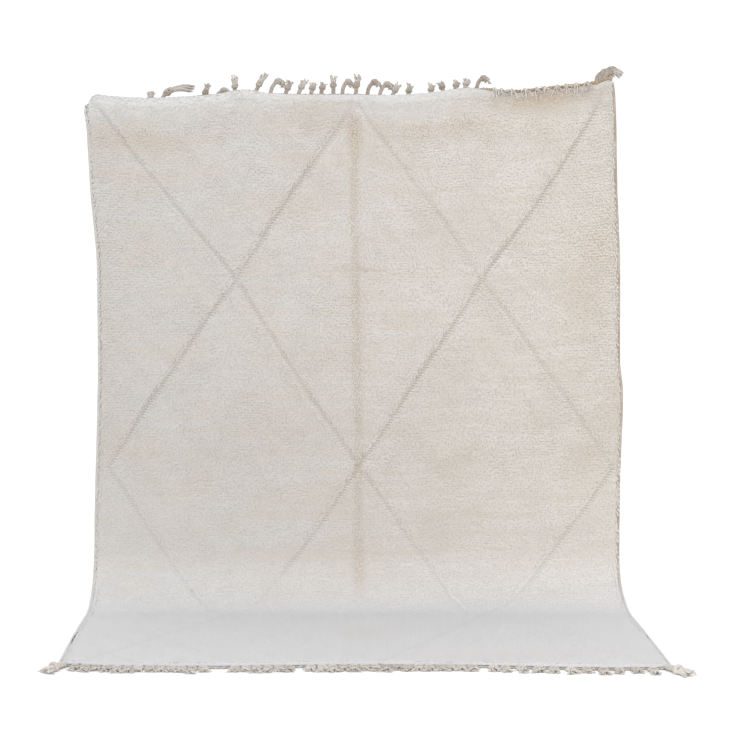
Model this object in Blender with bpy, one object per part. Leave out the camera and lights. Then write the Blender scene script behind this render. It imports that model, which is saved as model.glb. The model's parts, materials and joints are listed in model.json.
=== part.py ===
"""A Beni Ourain rug: thick ivory pile with a sunk lattice of large diamonds.

The rug hangs by its top end, which bends back over whatever holds it. Its lower
third sweeps forward and lies flat on the floor with the pile up. Both ends carry
knotted warp tassels on a narrow end cord, and both sides an overcast selvedge.
Metres, +Z up. The hanging pile faces -Y, and the floor is at Z = 0.
"""
import math
import random
from bisect import bisect_right
from collections import namedtuple

import bmesh
import bpy
from mathutils import Vector

# Driving dimensions.
THICKNESS = 0.018          # pile and ground weave together
EDGE_THICKNESS = 0.011     # the pile thins out to this at the rim
LUMP_HEIGHT = 0.0013       # unevenness of the pile's top
GROOVE_DEPTH = 0.006       # the lattice lines are cut this far into the pile
GROOVE_REACH = 0.022       # from a line's middle to the full pile, along X
HANG_Y = 0.512             # the hanging pile's face
MIDDLE_X = -0.020          # the rug's middle line; all places across are from it
BEND_RADIUS = 0.020        # the ground weave, where the top end bends back
SWEEP_RADIUS = 0.240       # the ground weave, where the rug meets the floor
CROSSING_HEIGHT = 1.329    # upper crossings of the lattice
MIDDLE_HEIGHT = 0.574      # middle diamond's corners
FLOOR_CROSSING = 0.245     # lower crossings, in front of the hanging pile
SWELL_FADE = 0.16          # height over which the hanging swells die out at the sweep
SEAT_GAP = 0.0003          # between pieces that touch on the real rug
TOP_CORD_GAP = 0.0011      # the same along the twisted top end
SELVEDGE_WIDTH = 0.013
SELVEDGE_HEIGHT = 0.011
SELVEDGE_SIDES = 6
CORD_WIDTH = 0.008         # end cord, away from the rug
CORD_HEIGHT = 0.008        # end cord, across the rug's thickness
ROOT_WIDTH = 0.012         # a tassel where it leaves the end cord
ROOT_MARGIN = 0.001
FORWARD_CLEARANCE = 0.015  # middle of a tassel that falls in front of the pile
SEED = 11

# Mesh steps.
QUARTER_STEPS = 10         # rows and columns to a quarter of the lattice
BEND_STEPS = 5
SWEEP_STEPS = 6            # of the third quarter's rows, those round the sweep
STRAIGHT_STEPS = 3         # and those on the straight above it
CARRY_STEPS = 12           # along a tassel, to carry its cross-section round bends

IVORY = (0.80, 0.74, 0.65, 1.0)
BEIGE = (0.66, 0.56, 0.44, 1.0)
BROWN_BEIGE = (0.60, 0.50, 0.39, 1.0)

Side = namedtuple("Side", "run left right")
Top = namedtuple("Top", "x height turn")
Front = namedtuple("Front", "x reach")
Lattice = namedtuple("Lattice", "outer_left left centre right outer_right")
Swell = namedtuple("Swell", "x z wide tall lean forward")
Section = namedtuple("Section", "share width height")
Tassel = namedtuple("Tassel", "x kind rise lean size", defaults=(1.0,))
Course = namedtuple("Course", "lead lead_back lead_rise mid_back mid_rise mid_lean back rise")

# The two sides at distances down from the bend.
SIDES = (
    Side(0.00, -1.080, 1.003),
    Side(0.08, -1.072, 1.009),
    Side(0.36, -1.058, 1.018),
    Side(0.68, -1.036, 1.033),
    Side(1.03, -1.036, 1.036),
    Side(1.18, -1.040, 1.049),
    Side(1.60, -1.054, 1.041),
    Side(1.90, -1.062, 1.042),
    Side(2.13, -1.062, 1.060),
    Side(2.45, -1.052, 1.070),
    Side(2.95, -1.025, 1.080),
)
# The top line, and how much of the end is turned back behind it.
TOP_LINE = (
    Top(-1.08, 2.022, 0.038),
    Top(-1.06, 2.050, 0.038),
    Top(-1.04, 2.060, 0.038),
    Top(-1.01, 2.055, 0.038),
    Top(-0.83, 2.047, 0.038),
    Top(-0.58, 2.062, 0.036),
    Top(-0.45, 2.083, 0.031),
    Top(-0.36, 2.070, 0.026),
    Top(-0.20, 2.062, 0.018),
    Top(-0.05, 2.061, 0.016),
    Top(0.06, 2.061, 0.022),
    Top(0.24, 2.067, 0.030),
    Top(0.43, 2.089, 0.023),
    Top(0.60, 2.066, 0.014),
    Top(0.82, 2.084, 0.012),
    Top(0.94, 2.099, 0.012),
    Top(0.99, 2.115, 0.012),
    Top(1.02, 2.104, 0.012),
)
# How far the front end lies from the hanging pile.
FRONT_LINE = (
    Front(-1.02, 0.990),
    Front(-0.80, 1.016),
    Front(-0.50, 1.021),
    Front(0.00, 1.000),
    Front(0.35, 1.002),
    Front(0.67, 1.030),
    Front(0.90, 1.042),
    Front(1.07, 1.030),
)
# Where the lattice's corners and crossings lie, a row for each quarter's end.
LATTICE = (
    Lattice(-1.045, -0.530, -0.012, 0.510, 0.985),
    Lattice(-1.010, -0.493, 0.000, 0.491, 1.010),
    Lattice(-1.010, -0.520, -0.004, 0.515, 1.020),
    Lattice(-1.020, -0.521, 0.030, 0.476, 1.030),
    Lattice(-0.965, -0.500, 0.071, 0.560, 1.030),
)
# Soft swells and hollows of the hanging cloth; lean is sideways drift per height.
SWELLS = (
    Swell(-0.72, 1.930, 0.40, 0.07, 0.0, -0.010),
    Swell(-0.28, 1.900, 0.06, 0.22, -0.94, 0.011),
    Swell(-0.16, 1.970, 0.12, 0.09, 0.0, -0.010),
    Swell(0.23, 1.920, 0.25, 0.06, 0.0, -0.009),
    Swell(0.75, 1.950, 0.25, 0.10, 0.0, 0.006),
    Swell(-0.30, 1.000, 0.45, 0.40, 0.2, 0.010),
    Swell(0.55, 1.250, 0.40, 0.45, 0.0, -0.008),
    Swell(1.05, 0.860, 0.18, 0.14, 0.0, 0.009),
    Swell(-1.05, 0.400, 0.20, 0.25, 0.0, 0.011),
    Swell(0.45, 0.470, 0.35, 0.20, 0.0, 0.008),
)
# A tassel's cross-sections, and where its knot lies, in shares of its length.
STEM = Section(0.12, 0.012, 0.010)
UPPER_STEM = Section(-0.15, 0.014, 0.013)   # this far before a knot that is far out
KNOT = Section(0.00, 0.023, 0.020)
NECK = Section(0.12, 0.008, 0.010)          # this far past the knot
TAIL = Section(0.57, 0.012, 0.012)          # this share of the way from there to the tip
KNOTS = {"floor": 0.32, "forward": 0.32, "behind": 0.32, "up": 0.58, "arch": 0.58, "long": 0.40}
NECK_SPREAD = 0.0055       # from the middle to each tail, at the neck
TAIL_SPREAD = 0.0085       # the same halfway down the tails
TIP_SPREAD = 0.0110

# How a tassel of the top end runs. It leaves the end cord straight for its lead, and
# its middle and tip lie back from the root, and up by shares of its rise.
COURSES = {
    "up": Course(0.024, 0.000, 0.0, 0.028, 0.5, 0.4, 0.024, 1.0),
    "arch": Course(0.026, 0.014, 0.6, 0.050, 1.4, 0.8, 0.052, 0.5),
    "long": Course(0.026, 0.010, 0.75, 0.045, 1.25, 0.45, 0.050, 0.85),
    "behind": Course(0.022, 0.000, 0.0, 0.030, -0.3, 1.0, 0.022, -1.0),
}
FORWARD_LEAD = 0.024       # a tassel that falls forward first goes up this far,
FORWARD_LEAD_OUT = 0.010   # towards the pile this far,
FORWARD_SWING = 0.018      # then out past the pile,
FORWARD_CREST = 0.008      # over a crest this far above its root

# Tassels that show at the top end, from left to right.
TOP_TASSELS = (
    Tassel(-0.836, "up", 0.045, 0.00),
    Tassel(-0.790, "long", 0.060, 0.13, 1.15),
    Tassel(-0.622, "up", 0.068, 0.02),
    Tassel(-0.572, "arch", 0.036, 0.05),
    Tassel(-0.497, "up", 0.074, 0.00),
    Tassel(-0.412, "up", 0.080, 0.04),
    Tassel(-0.352, "arch", 0.058, 0.05),
    Tassel(-0.292, "up", 0.058, 0.02),
    Tassel(-0.240, "up", 0.066, 0.03),
    Tassel(-0.190, "up", 0.052, 0.01),
    Tassel(-0.150, "up", 0.054, 0.01),
    Tassel(-0.102, "up", 0.078, 0.00),
    Tassel(-0.066, "arch", 0.052, 0.04),
    Tassel(-0.012, "up", 0.082, 0.01),
    Tassel(0.034, "arch", 0.056, 0.05),
    Tassel(0.084, "arch", 0.050, 0.05),
    Tassel(0.134, "up", 0.054, 0.03),
    Tassel(0.196, "up", 0.050, 0.01),
    Tassel(0.284, "up", 0.044, 0.01),
    Tassel(0.336, "up", 0.044, -0.01),
    Tassel(0.384, "up", 0.040, 0.01),
    Tassel(0.424, "up", 0.040, 0.01),
    Tassel(0.470, "arch", 0.046, 0.05),
    Tassel(0.950, "arch", 0.050, 0.10, 1.5),
)
# Stretches of the top end where every tassel goes one way, a pitch apart.
TOP_STRETCHES = (
    Tassel((-1.045, -0.86), "behind", 0.060, 0.0),
    Tassel((-0.72, -0.64), "behind", 0.060, 0.0),
    Tassel((0.53, 0.95), "forward", 0.050, 0.0, 0.85),
)
TOP_PITCH = 0.042
FRONT_PITCH_LEFT = 0.037
FRONT_PITCH_RIGHT = 0.056  # right of FRONT_PITCH_CHANGE
FRONT_PITCH_CHANGE = 0.50
FRONT_GAPS = (-0.47, -0.20, 0.42)
FRONT_LENGTH = 0.066
CORNER_LENGTH = 0.095
CORNER_SIZE = 1.35
CORNER_INSET = 0.012
FIRST_TASSEL = 0.055       # from the sides to the first tassel after the corner's
GAP_REACH = 0.020          # half of the bare stretch at a missing tassel


def read(table, column, at):
    """Read a column of a table between its rows, on a curve with no overshoot."""
    places = [row[0] for row in table]
    values = [getattr(row, column) for row in table]
    if at <= places[0]:
        return values[0]
    if at >= places[-1]:
        return values[-1]
    last = len(places) - 1
    steps = [places[i + 1] - places[i] for i in range(last)]
    rises = [(values[i + 1] - values[i]) / steps[i] for i in range(last)]

    def slope(i):
        if i in (0, last):
            return rises[min(i, last - 1)]
        before, after = rises[i - 1], rises[i]
        if before * after <= 0:
            return 0.0
        return 2 * before * after / (before + after)

    i = bisect_right(places, at) - 1
    t = (at - places[i]) / steps[i]
    ease = t * t * (3 - 2 * t)
    curve = values[i] * (1 - ease) + values[i + 1] * ease
    curve += slope(i) * steps[i] * t * (1 - t) ** 2
    return curve - slope(i + 1) * steps[i] * t * t * (1 - t)


def mix(a, b, share):
    return a + (b - a) * share


def swell(x, z):
    """How far forward the hanging cloth stands at a place."""
    fade = min(max((z - SWEEP_RADIUS) / SWELL_FADE, 0.0), 1.0)
    total = 0.0
    for row in SWELLS:
        rise = z - row.z
        across = (x - row.x - row.lean * rise) / row.wide
        total += row.forward * math.exp(-across ** 2 - (rise / row.tall) ** 2)
    return total * fade * fade * (3 - 2 * fade)


def bend_angle(x):
    """How far round the bend the top end reaches."""
    return read(TOP_LINE, "turn", x) / BEND_RADIUS


def bend_start(x):
    """Height at which the bend begins, so that the pile's top meets the top line."""
    rise = math.sin(min(bend_angle(x), math.pi / 2))
    return read(TOP_LINE, "height", x) - (BEND_RADIUS + THICKNESS) * rise


def weave(x, run):
    """Back of the ground weave at a run below the bend, and the way to the pile."""
    start = bend_start(x)
    back = HANG_Y + THICKNESS
    hang = start - SWEEP_RADIUS
    past = run - hang
    if run < 0:
        angle = -run / BEND_RADIUS
        y = back - swell(x, start) + BEND_RADIUS * (1 - math.cos(angle))
        point = Vector((x, y, start + BEND_RADIUS * math.sin(angle)))
        return point, Vector((0, -math.cos(angle), math.sin(angle)))
    if past <= 0:
        z = start - run
        return Vector((x, back - swell(x, z), z)), Vector((0, -1, 0))
    angle = past / SWEEP_RADIUS
    if angle < math.pi / 2:
        y = back - SWEEP_RADIUS * (1 - math.cos(angle))
        point = Vector((x, y, SWEEP_RADIUS * (1 - math.sin(angle))))
        return point, Vector((0, -math.cos(angle), math.sin(angle)))
    y = back - SWEEP_RADIUS - (past - SWEEP_RADIUS * math.pi / 2)
    return Vector((x, y, 0)), Vector((0, 0, 1))


def quarter_runs(x):
    """Runs below the bend at which the lattice's quarters begin and end."""
    start = bend_start(x)
    floor_zero = start - SWEEP_RADIUS + SWEEP_RADIUS * math.pi / 2
    floor_zero -= SWEEP_RADIUS - THICKNESS
    return (
        0.0,
        start - CROSSING_HEIGHT,
        start - MIDDLE_HEIGHT,
        floor_zero + FLOOR_CROSSING,
        floor_zero + read(FRONT_LINE, "reach", x),
    )


def quarter_shares(quarter):
    """Row places within a quarter: even, but close together round the sweep."""
    if quarter != 2:
        return [step / QUARTER_STEPS for step in range(QUARTER_STEPS + 1)]
    straight = MIDDLE_HEIGHT - SWEEP_RADIUS
    sweep = SWEEP_RADIUS * math.pi / 2
    flat = FLOOR_CROSSING - (SWEEP_RADIUS - THICKNESS)
    flat_steps = QUARTER_STEPS - SWEEP_STEPS - STRAIGHT_STEPS
    runs = [0.0]
    for length, steps in ((straight, STRAIGHT_STEPS), (sweep, SWEEP_STEPS), (flat, flat_steps)):
        runs += [runs[-1] + length * (step + 1) / steps for step in range(steps)]
    return [run / runs[-1] for run in runs]


def leans_right(quarter, column):
    """True where a rectangle's lattice line runs down to the right."""
    return (quarter + column) % 2 == 0


def row_columns(quarter, step, share):
    """Places across a row, each with True where it lies on a lattice line."""
    run = mix(*[quarter_runs(0.0)[quarter + end] for end in (0, 1)], share)
    bounds = [mix(a, b, share) for a, b in zip(LATTICE[quarter], LATTICE[quarter + 1])]
    columns = [(read(SIDES, "left", run), False)]
    for column in range(4):
        left, right = bounds[column], bounds[column + 1]
        right_down = leans_right(quarter, column)
        at = step if right_down else QUARTER_STEPS - step
        line = mix(left, right, share if right_down else 1 - share)
        for k in range(QUARTER_STEPS + (column == 3)):
            if k == at:
                columns.append((line, True))
            elif k < at:
                x = mix(left, line - GROOVE_REACH, k / max(at - 1, 1))
                columns.append((x, False))
            else:
                ahead = QUARTER_STEPS - at - 1
                x = mix(line + GROOVE_REACH, right, (k - at - 1) / ahead) if ahead else right
                columns.append((x, False))
    columns.append((read(SIDES, "right", run), False))
    return columns


def pile_height(x, run):
    """Pile and weave thickness with the lumps that hand cutting leaves."""
    lumps = math.sin(9.1 * x + 4.3 * run) + math.sin(17.3 * x - 11.9 * run + 1.1)
    lumps += math.sin(6.7 * x + 21.7 * run + 2.3)
    return THICKNESS + LUMP_HEIGHT * lumps / 2


def rug_rows():
    """All rows from the turned-back end to the front: quarter, columns and runs."""
    rows = []
    first = row_columns(0, 0, 0.0)
    for step in range(BEND_STEPS, 0, -1):
        runs = [-read(TOP_LINE, "turn", x) * step / BEND_STEPS for x, _ in first]
        rows.append((0, [(x, False) for x, _ in first], runs))
    for quarter in range(4):
        shares = quarter_shares(quarter)
        for step in range(QUARTER_STEPS + (quarter == 3)):
            columns = row_columns(quarter, step, shares[step])
            ends = [quarter_runs(x)[quarter:quarter + 2] for x, _ in columns]
            runs = [mix(start, end, shares[step]) for start, end in ends]
            rows.append((quarter, columns, runs))
    return rows


def new_object(name, bm, colour, roughness):
    """Close a mesh into an object with its own material."""
    bmesh.ops.triangulate(bm, faces=[face for face in bm.faces if len(face.verts) > 4])
    bmesh.ops.recalc_face_normals(bm, faces=bm.faces[:])
    mesh = bpy.data.meshes.new(name)
    bm.to_mesh(mesh)
    bm.free()
    material = bpy.data.materials.new(name + "_wool")
    material.use_nodes = True
    shader = material.node_tree.nodes["Principled BSDF"]
    shader.inputs["Base Color"].default_value = colour
    shader.inputs["Roughness"].default_value = roughness
    shader.inputs["Metallic"].default_value = 0.0
    mesh.materials.append(material)
    piece = bpy.data.objects.new(name, mesh)
    piece.location.x = MIDDLE_X
    bpy.context.scene.collection.objects.link(piece)
    return piece


def make_rug():
    """The pile rug as one lumpy slab with the lattice pressed into its pile."""
    bm = bmesh.new()
    rows = rug_rows()
    front, back = [], []
    for number, (_, columns, runs) in enumerate(rows):
        end_row = number in (0, len(rows) - 1)
        front.append([])
        back.append([])
        for place, ((x, on_line), run) in enumerate(zip(columns, runs)):
            point, out = weave(x, run)
            rim = end_row or place in (0, len(columns) - 1)
            height = EDGE_THICKNESS if rim else pile_height(x, run)
            if on_line and not rim:
                height -= GROOVE_DEPTH
            back[-1].append(bm.verts.new(point))
            front[-1].append(bm.verts.new(point + out * height))
    across = len(front[0])
    for number in range(len(rows) - 1):
        quarter = rows[number][0]
        for place in range(across - 1):
            column = min(max(place - 1, 0) // QUARTER_STEPS, 3)
            for side in (front, back):
                a, b = side[number][place], side[number][place + 1]
                d, c = side[number + 1][place], side[number + 1][place + 1]
                if leans_right(quarter, column):
                    halves = ((a, b, c), (a, c, d))
                else:
                    halves = ((a, b, d), (b, c, d))
                for half in halves:
                    bm.faces.new(half)
    for number in range(len(rows) - 1):
        for place in (0, across - 1):
            above, below = front[number][place], front[number + 1][place]
            bm.faces.new((above, below, back[number + 1][place], back[number][place]))
    for number in (0, len(rows) - 1):
        for place in range(across - 1):
            one, other = front[number][place], front[number][place + 1]
            bm.faces.new((one, other, back[number][place + 1], back[number][place]))
    return new_object("rug", bm, IVORY, 0.95)


def bridge(bm, one, other):
    """Join two rings of the same count with quads."""
    for k in range(len(one)):
        following = (k + 1) % len(one)
        bm.faces.new((one[k], one[following], other[following], other[k]))


def make_selvedge(name, side):
    """Overcast cord that follows one side of the rug over its whole length."""
    bm = bmesh.new()
    rings = []
    for _, columns, runs in rug_rows():
        x, run = (columns[0][0], runs[0]) if side < 0 else (columns[-1][0], runs[-1])
        point, out = weave(x, run)
        middle = point + out * (SELVEDGE_HEIGHT / 2 + SEAT_GAP)
        middle.x += side * (SEAT_GAP + SELVEDGE_WIDTH / 2)
        ring = []
        for k in range(SELVEDGE_SIDES):
            angle = 2 * math.pi * k / SELVEDGE_SIDES
            across = Vector((math.cos(angle) * SELVEDGE_WIDTH / 2, 0, 0))
            ring.append(bm.verts.new(middle + across + out * math.sin(angle) * SELVEDGE_HEIGHT / 2))
        rings.append(ring)
    for one, other in zip(rings, rings[1:]):
        bridge(bm, one, other)
    bm.faces.new(rings[0])
    bm.faces.new(rings[-1])
    return new_object(name, bm, BROWN_BEIGE, 0.9)


def end_frame(x, top):
    """Weave edge at one end: its point, the way off the rug and the way to the pile."""
    if top:
        turn = read(TOP_LINE, "turn", x)
        point, out = weave(x, -turn)
        angle = turn / BEND_RADIUS
        return point, Vector((0, math.sin(angle), math.cos(angle))), out
    point, out = weave(x, quarter_runs(x)[-1])
    return point, Vector((0, -1, 0)), out


def frame_between(frames, x):
    """End frame at x, straight between the rug's own columns."""
    places = [place for place, _ in frames]
    i = min(max(bisect_right(places, x) - 1, 0), len(frames) - 2)
    share = (x - places[i]) / (places[i + 1] - places[i])
    return tuple(one.lerp(other, share) for one, other in zip(frames[i][1], frames[i + 1][1]))


def root_in_column(places, x):
    """Move a tassel's root sideways so that it stays within one column of the rug."""
    half = ROOT_WIDTH / 2 + ROOT_MARGIN
    i = min(max(bisect_right(places, x) - 1, 0), len(places) - 2)
    return min(max(x, places[i] + half), places[i + 1] - half)


def bezier(points, share):
    """Point of a cubic curve."""
    a, b, c, d = points
    rest = 1 - share
    return a * rest ** 3 + b * 3 * rest ** 2 * share + c * 3 * rest * share ** 2 + d * share ** 3


def tassel_path(tassel, frame, root):
    """Four control points of a tassel's middle line from its root on the end cord."""
    _, away, out = frame
    rise, lean = tassel.rise, tassel.lean
    if tassel.kind == "floor":
        return (root, root + away * rise * 0.4,
                root + away * rise * 0.7 + Vector((lean * 0.5, 0, 0)),
                root + away * rise + Vector((lean, 0, 0)))
    if tassel.kind == "forward":
        face = HANG_Y - swell(root.x, root.z) - FORWARD_CLEARANCE
        return (root, root + away * FORWARD_LEAD + out * FORWARD_LEAD_OUT,
                Vector((root.x + lean * 0.5, face - FORWARD_SWING, root.z + FORWARD_CREST)),
                Vector((root.x + lean, face, root.z - rise)))
    course = COURSES[tassel.kind]
    lead = Vector((0, course.lead_back, rise * course.lead_rise))
    middle = Vector((lean * course.mid_lean, course.mid_back, rise * course.mid_rise))
    return (root, root + away * course.lead + lead, root + middle,
            root + Vector((lean, course.back, rise * course.rise)))


def cross_section(bm, middle, side, up, width, height):
    """Four corners of a strand, in the order of a root's corners."""
    signs = ((-1, -1), (-1, 1), (1, 1), (1, -1))
    return [bm.verts.new(middle + side * s * width / 2 + up * t * height / 2) for s, t in signs]


def grow_tassel(bm, root_ring, path, scale, knot, floor):
    """A stem, a knot and two tails that grow from a root on the end cord."""

    def across_at(share):
        """The way across the strand, carried along its bends without twisting."""
        across, ahead = Vector((1, 0, 0)), (path[1] - path[0]).normalized()
        for step in range(1, CARRY_STEPS + 1):
            at = share * step / CARRY_STEPS
            following = (bezier(path, at + 0.01) - bezier(path, at - 0.01)).normalized()
            across = ahead.rotation_difference(following) @ across
            ahead = following
        return across, ahead

    def ring(share, section, spread=0.0):
        across, ahead = across_at(share)
        centre = bezier(path, share) + across * spread * scale
        height = section.height * scale
        up = across.cross(ahead)
        if floor:
            up = Vector((0, 0, 1))
            centre.z = height / 2
        return cross_section(bm, centre, across, up, section.width * scale, height)

    last = root_ring
    stem = [(STEM.share, STEM), (knot, KNOT)]
    if knot + UPPER_STEM.share > STEM.share * 2:
        stem.insert(1, (knot + UPPER_STEM.share, UPPER_STEM))
    for share, section in stem:
        following = ring(share, section)
        bridge(bm, last, following)
        last = following
    neck_share = knot + NECK.share
    left, right = (ring(neck_share, NECK, way * NECK_SPREAD) for way in (-1, 1))
    bm.faces.new((last[0], last[1], left[1], left[0]))
    bm.faces.new((last[2], last[3], right[3], right[2]))
    for near, far, a, b, c, d in ((1, 2, left[1], left[2], right[1], right[2]),
                                  (3, 0, right[3], right[0], left[3], left[0])):
        bm.faces.new((last[near], a, b))
        bm.faces.new((last[near], b, c, last[far]))
        bm.faces.new((last[far], c, d))
    bm.faces.new((left[2], left[3], right[0], right[1]))
    for neck, way in ((left, -1), (right, 1)):
        tail = ring(mix(neck_share, 1.0, TAIL.share), TAIL, way * TAIL_SPREAD)
        bridge(bm, neck, tail)
        tip = bezier(path, 1.0) + across_at(0.99)[0] * way * TIP_SPREAD * scale
        if floor:
            tip.z = TAIL.height * scale / 4
        point = bm.verts.new(tip)
        for k in range(4):
            bm.faces.new((tail[k], tail[(k + 1) % 4], point))


def make_fringe(name, top, tassels):
    """An end cord along one end of the rug, with its tassels grown from it."""
    bm = bmesh.new()
    row = rug_rows()[0 if top else -1]
    places = [x for x, _ in row[1]]
    frames = [(x, end_frame(x, top)) for x in places]
    gap = TOP_CORD_GAP if top else SEAT_GAP
    roots = sorted((root_in_column(places, tassel.x), tassel) for tassel in tassels)
    stations = {x: None for x in places}
    for x, tassel in roots:
        stations[x - ROOT_WIDTH / 2] = tassel
        stations[x + ROOT_WIDTH / 2] = None
    rings, growing = [], []
    for x in sorted(stations):
        point, away, out = frame_between(frames, x)
        low = 0.001 if top else 0.0
        inner, outer = point + away * gap, point + away * (gap + CORD_WIDTH)
        corners = (inner + out * low, inner + out * (low + CORD_HEIGHT),
                   outer + out * (low + CORD_HEIGHT), outer + out * low)
        rings.append([bm.verts.new(corner) for corner in corners])
        growing.append(stations[x])
    for one, other, tassel in zip(rings, rings[1:], growing):
        for k in (0, 1, 3):
            following = (k + 1) % 4
            bm.faces.new((one[k], one[following], other[following], other[k]))
        root_ring = [one[3], one[2], other[2], other[3]]
        if tassel is None:
            bm.faces.new(root_ring)
            continue
        root = sum((vert.co for vert in root_ring), Vector()) / 4
        frame = frame_between(frames, root.x)
        path = tassel_path(tassel, frame, root)
        grow_tassel(bm, root_ring, path, tassel.size, KNOTS[tassel.kind], tassel.kind == "floor")
    bm.faces.new(rings[0])
    bm.faces.new(rings[-1])
    return new_object(name, bm, BEIGE, 0.95)


def top_tassels():
    """The tassels that show, and the stretches between them."""
    draw = random.Random(SEED)
    tassels = list(TOP_TASSELS)
    for stretch in TOP_STRETCHES:
        start, end = stretch.x
        count = int((end - start) / TOP_PITCH) + 1
        for k in range(count):
            lean = draw.uniform(-0.006, 0.006)
            rise = stretch.rise * draw.uniform(0.8, 1.15)
            x = start + k * TOP_PITCH
            tassels.append(stretch._replace(x=x, rise=rise, lean=lean))
    return tassels


def front_tassels():
    """Tassels along the front end, splayed at the corners, with a few missing."""
    draw = random.Random(SEED + 1)
    left, right = SIDES[-1].left, SIDES[-1].right
    tassels = [Tassel(left + CORNER_INSET, "floor", CORNER_LENGTH, -0.050, CORNER_SIZE),
               Tassel(right - CORNER_INSET, "floor", CORNER_LENGTH, 0.060, CORNER_SIZE)]
    x = left + FIRST_TASSEL
    while x < right - FIRST_TASSEL:
        rise = FRONT_LENGTH * draw.uniform(0.75, 1.25)
        lean = draw.uniform(-0.008, 0.008)
        if all(abs(x - gap) > GAP_REACH for gap in FRONT_GAPS):
            tassels.append(Tassel(x, "floor", rise, lean))
        x += FRONT_PITCH_LEFT if x < FRONT_PITCH_CHANGE else FRONT_PITCH_RIGHT
    return tassels


def main():
    for old in list(bpy.data.objects):
        bpy.data.objects.remove(old, do_unlink=True)
    make_rug()
    make_selvedge("selvedge_left", -1)
    make_selvedge("selvedge_right", 1)
    make_fringe("fringe_top", True, top_tassels())
    make_fringe("fringe_front", False, front_tassels())


main()
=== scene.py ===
"""Looks of a Beni Ourain rug: brushed wool pile, ground weave, side cords, end cords and tassels.

The rug hangs by its top end and sweeps onto the floor. Every surface here lies on
the folds of the rug's solids, whose tables and curves are repeated below. Metres,
+Z up. The hanging pile faces -Y, and the floor is at Z = 0.
"""
import json
import math
import random
from collections import namedtuple
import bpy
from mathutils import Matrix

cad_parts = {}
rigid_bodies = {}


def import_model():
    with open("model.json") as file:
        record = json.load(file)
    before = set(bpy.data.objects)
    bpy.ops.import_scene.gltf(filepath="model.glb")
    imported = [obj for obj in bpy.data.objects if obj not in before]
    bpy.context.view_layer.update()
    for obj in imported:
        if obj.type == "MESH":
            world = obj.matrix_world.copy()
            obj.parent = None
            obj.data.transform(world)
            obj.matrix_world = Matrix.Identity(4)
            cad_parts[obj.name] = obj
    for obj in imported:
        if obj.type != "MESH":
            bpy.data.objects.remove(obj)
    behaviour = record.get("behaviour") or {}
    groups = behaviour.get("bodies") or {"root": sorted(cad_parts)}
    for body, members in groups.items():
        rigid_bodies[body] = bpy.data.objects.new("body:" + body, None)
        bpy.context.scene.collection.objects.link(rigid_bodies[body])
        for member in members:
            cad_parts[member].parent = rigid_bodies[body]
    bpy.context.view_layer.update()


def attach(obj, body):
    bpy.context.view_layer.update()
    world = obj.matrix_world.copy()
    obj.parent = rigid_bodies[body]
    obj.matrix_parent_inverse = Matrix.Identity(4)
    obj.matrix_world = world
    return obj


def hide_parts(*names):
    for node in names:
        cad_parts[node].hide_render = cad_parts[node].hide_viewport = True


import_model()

from types import SimpleNamespace

import bpy
import numpy as np
from bpy.props import FloatProperty, FloatVectorProperty, IntProperty, PointerProperty
from mathutils import Vector

bl_info = {
    "name": "Beni Ourain Rug",
    "version": (1, 0, 0),
    "blender": (4, 5, 0),
    "location": "3D View > Sidebar > Rug",
    "description": "Builds a hung pile rug with its weave, locks, side cords and tassels",
    "category": "Add Mesh",
}

# The rug's solids: sizes and tables that its source gives.
THICKNESS = 0.018          # pile and ground weave together
EDGE_THICKNESS = 0.011     # the pile thins out to this at the rim
LUMP_HEIGHT = 0.0013       # unevenness of the pile's top
GROOVE_DEPTH = 0.006       # the lattice lines are cut this far into the pile
GROOVE_REACH = 0.022       # from a line's middle to the full pile, along X
HANG_Y = 0.512             # the hanging pile's face
MIDDLE_X = -0.020          # the rug's middle line; all places across are from it
BEND_RADIUS = 0.020
SWEEP_RADIUS = 0.240
CROSSING_HEIGHT = 1.329
MIDDLE_HEIGHT = 0.574
FLOOR_CROSSING = 0.245
SWELL_FADE = 0.16
SEAT_GAP = 0.0003
TOP_CORD_GAP = 0.0011
SELVEDGE_WIDTH = 0.013     # of a side cord
SELVEDGE_HEIGHT = 0.011
CORD_WIDTH = 0.008         # of an end cord
CORD_HEIGHT = 0.008
TOP_CORD_LOW = 0.001       # the top's end cord stands off the weave's back by this
FORWARD_CLEARANCE = 0.015
SEED = 11

Side = namedtuple("Side", "run left right")
Top = namedtuple("Top", "x height turn")
Front = namedtuple("Front", "x reach")
Swell = namedtuple("Swell", "x z wide tall lean forward")
Tassel = namedtuple("Tassel", "x kind rise lean size", defaults=(1.0,))
Course = namedtuple("Course", "lead lead_back lead_rise mid_back mid_rise mid_lean back rise")
Crease = namedtuple("Crease", "run x half soil")
TintPatch = namedtuple("TintPatch", "x run wide tall soil")
Stretch = namedtuple("Stretch", "start length")

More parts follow.
